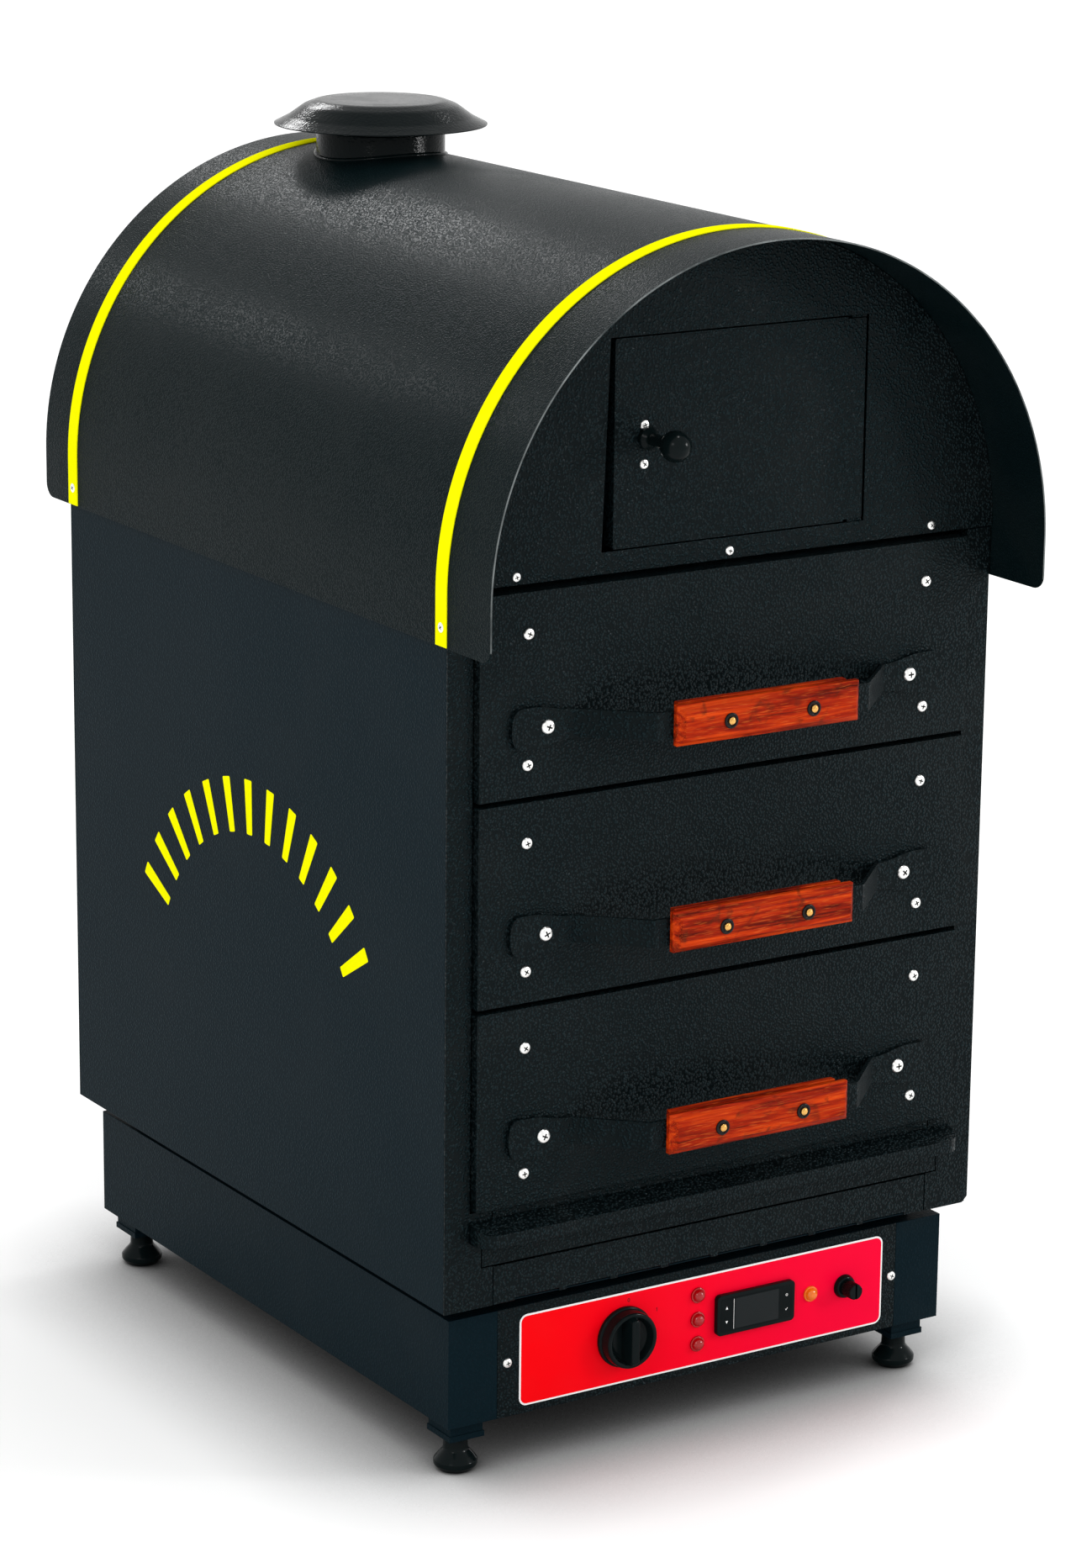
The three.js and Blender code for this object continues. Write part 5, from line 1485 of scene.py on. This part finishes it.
sideMark = {
    "bars": 13,
    "barWidth": 12 * mm,
    "barHeight": 46 * mm,
    "thickness": 0.15 * mm,
    "corner": 1.2 * mm,
    "narrow": 0.72,  # foot's width as a share of the top's
}
# places along the arc on the left side, as (y, z) in metres
arcPoints = [(0.173, 0.384), (0.012, 0.489), (-0.158, 0.4015)]


def circleThrough(a, b, c):
    ax, ay = a
    bx, by = b
    cx, cy = c
    d = 2 * (ax * (by - cy) + bx * (cy - ay) + cx * (ay - by))
    aa, bb, cc = ax * ax + ay * ay, bx * bx + by * by, cx * cx + cy * cy
    centre = Vector(((aa * (by - cy) + bb * (cy - ay) + cc * (ay - by)) / d,
                     (aa * (cx - bx) + bb * (ax - cx) + cc * (bx - ax)) / d))
    return centre, (Vector(a) - centre).length


def addSideBars():
    centre, radius = circleThrough(*arcPoints)
    begin, end = Vector(arcPoints[0]) - centre, Vector(arcPoints[-1]) - centre
    begin, end = atan2(begin.y, begin.x), atan2(end.y, end.x)
    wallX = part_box("left_side_panel")[0].x
    corner, h, top = sideMark["corner"], sideMark["barHeight"] / 2, sideMark["barWidth"] / 2
    foot = top * sideMark["narrow"]
    corners = [(-foot, -h, corner), (foot, -h, corner), (top, h, corner), (-top, h, corner)]
    outline = filleted(corners, 3, closed=True)
    for i in range(sideMark["bars"]):
        angle = begin + (end - begin) * i / (sideMark["bars"] - 1)
        y, z = centre.x + radius * cos(angle), centre.y + radius * sin(angle)
        form = slab(outline, 0, sideMark["thickness"])
        form.transform(placed(left, (wallX, y, z), (0, cos(angle), sin(angle))))
        addPiece(f"side_bar_{i:02d}", form, "cabinet", "yellow_strip")


addSideBars()
print("small pieces made")


# Sheet pieces that keep their CAD shape get folded edges and their finish

slotOf = {part["node"]: part["material_slot"] for part in frame["record"]["subparts"]}
foldedEdge = {"sheet": 0.45 * mm, "moulded": 1.0 * mm, "weld": 0.02 * mm}
moulded = ("controller", "door_catch")


def dressNode(node, piece):
    piece.data.materials.clear()
    piece.data.materials.append(finishes[slotOf[node]])
    if piece.hide_render:
        return
    weld = piece.modifiers.new("weld", "WELD")
    weld.merge_threshold = foldedEdge["weld"]
    flat = piece.modifiers.new("flat faces", "DECIMATE")
    flat.decimate_type = "DISSOLVE"
    flat.angle_limit = radians(1)
    roundEdges(piece, foldedEdge["moulded" if node in moulded else "sheet"], 2, 40)


for node, piece in nodes.items():
    dressNode(node, piece)
print("CAD pieces dressed")
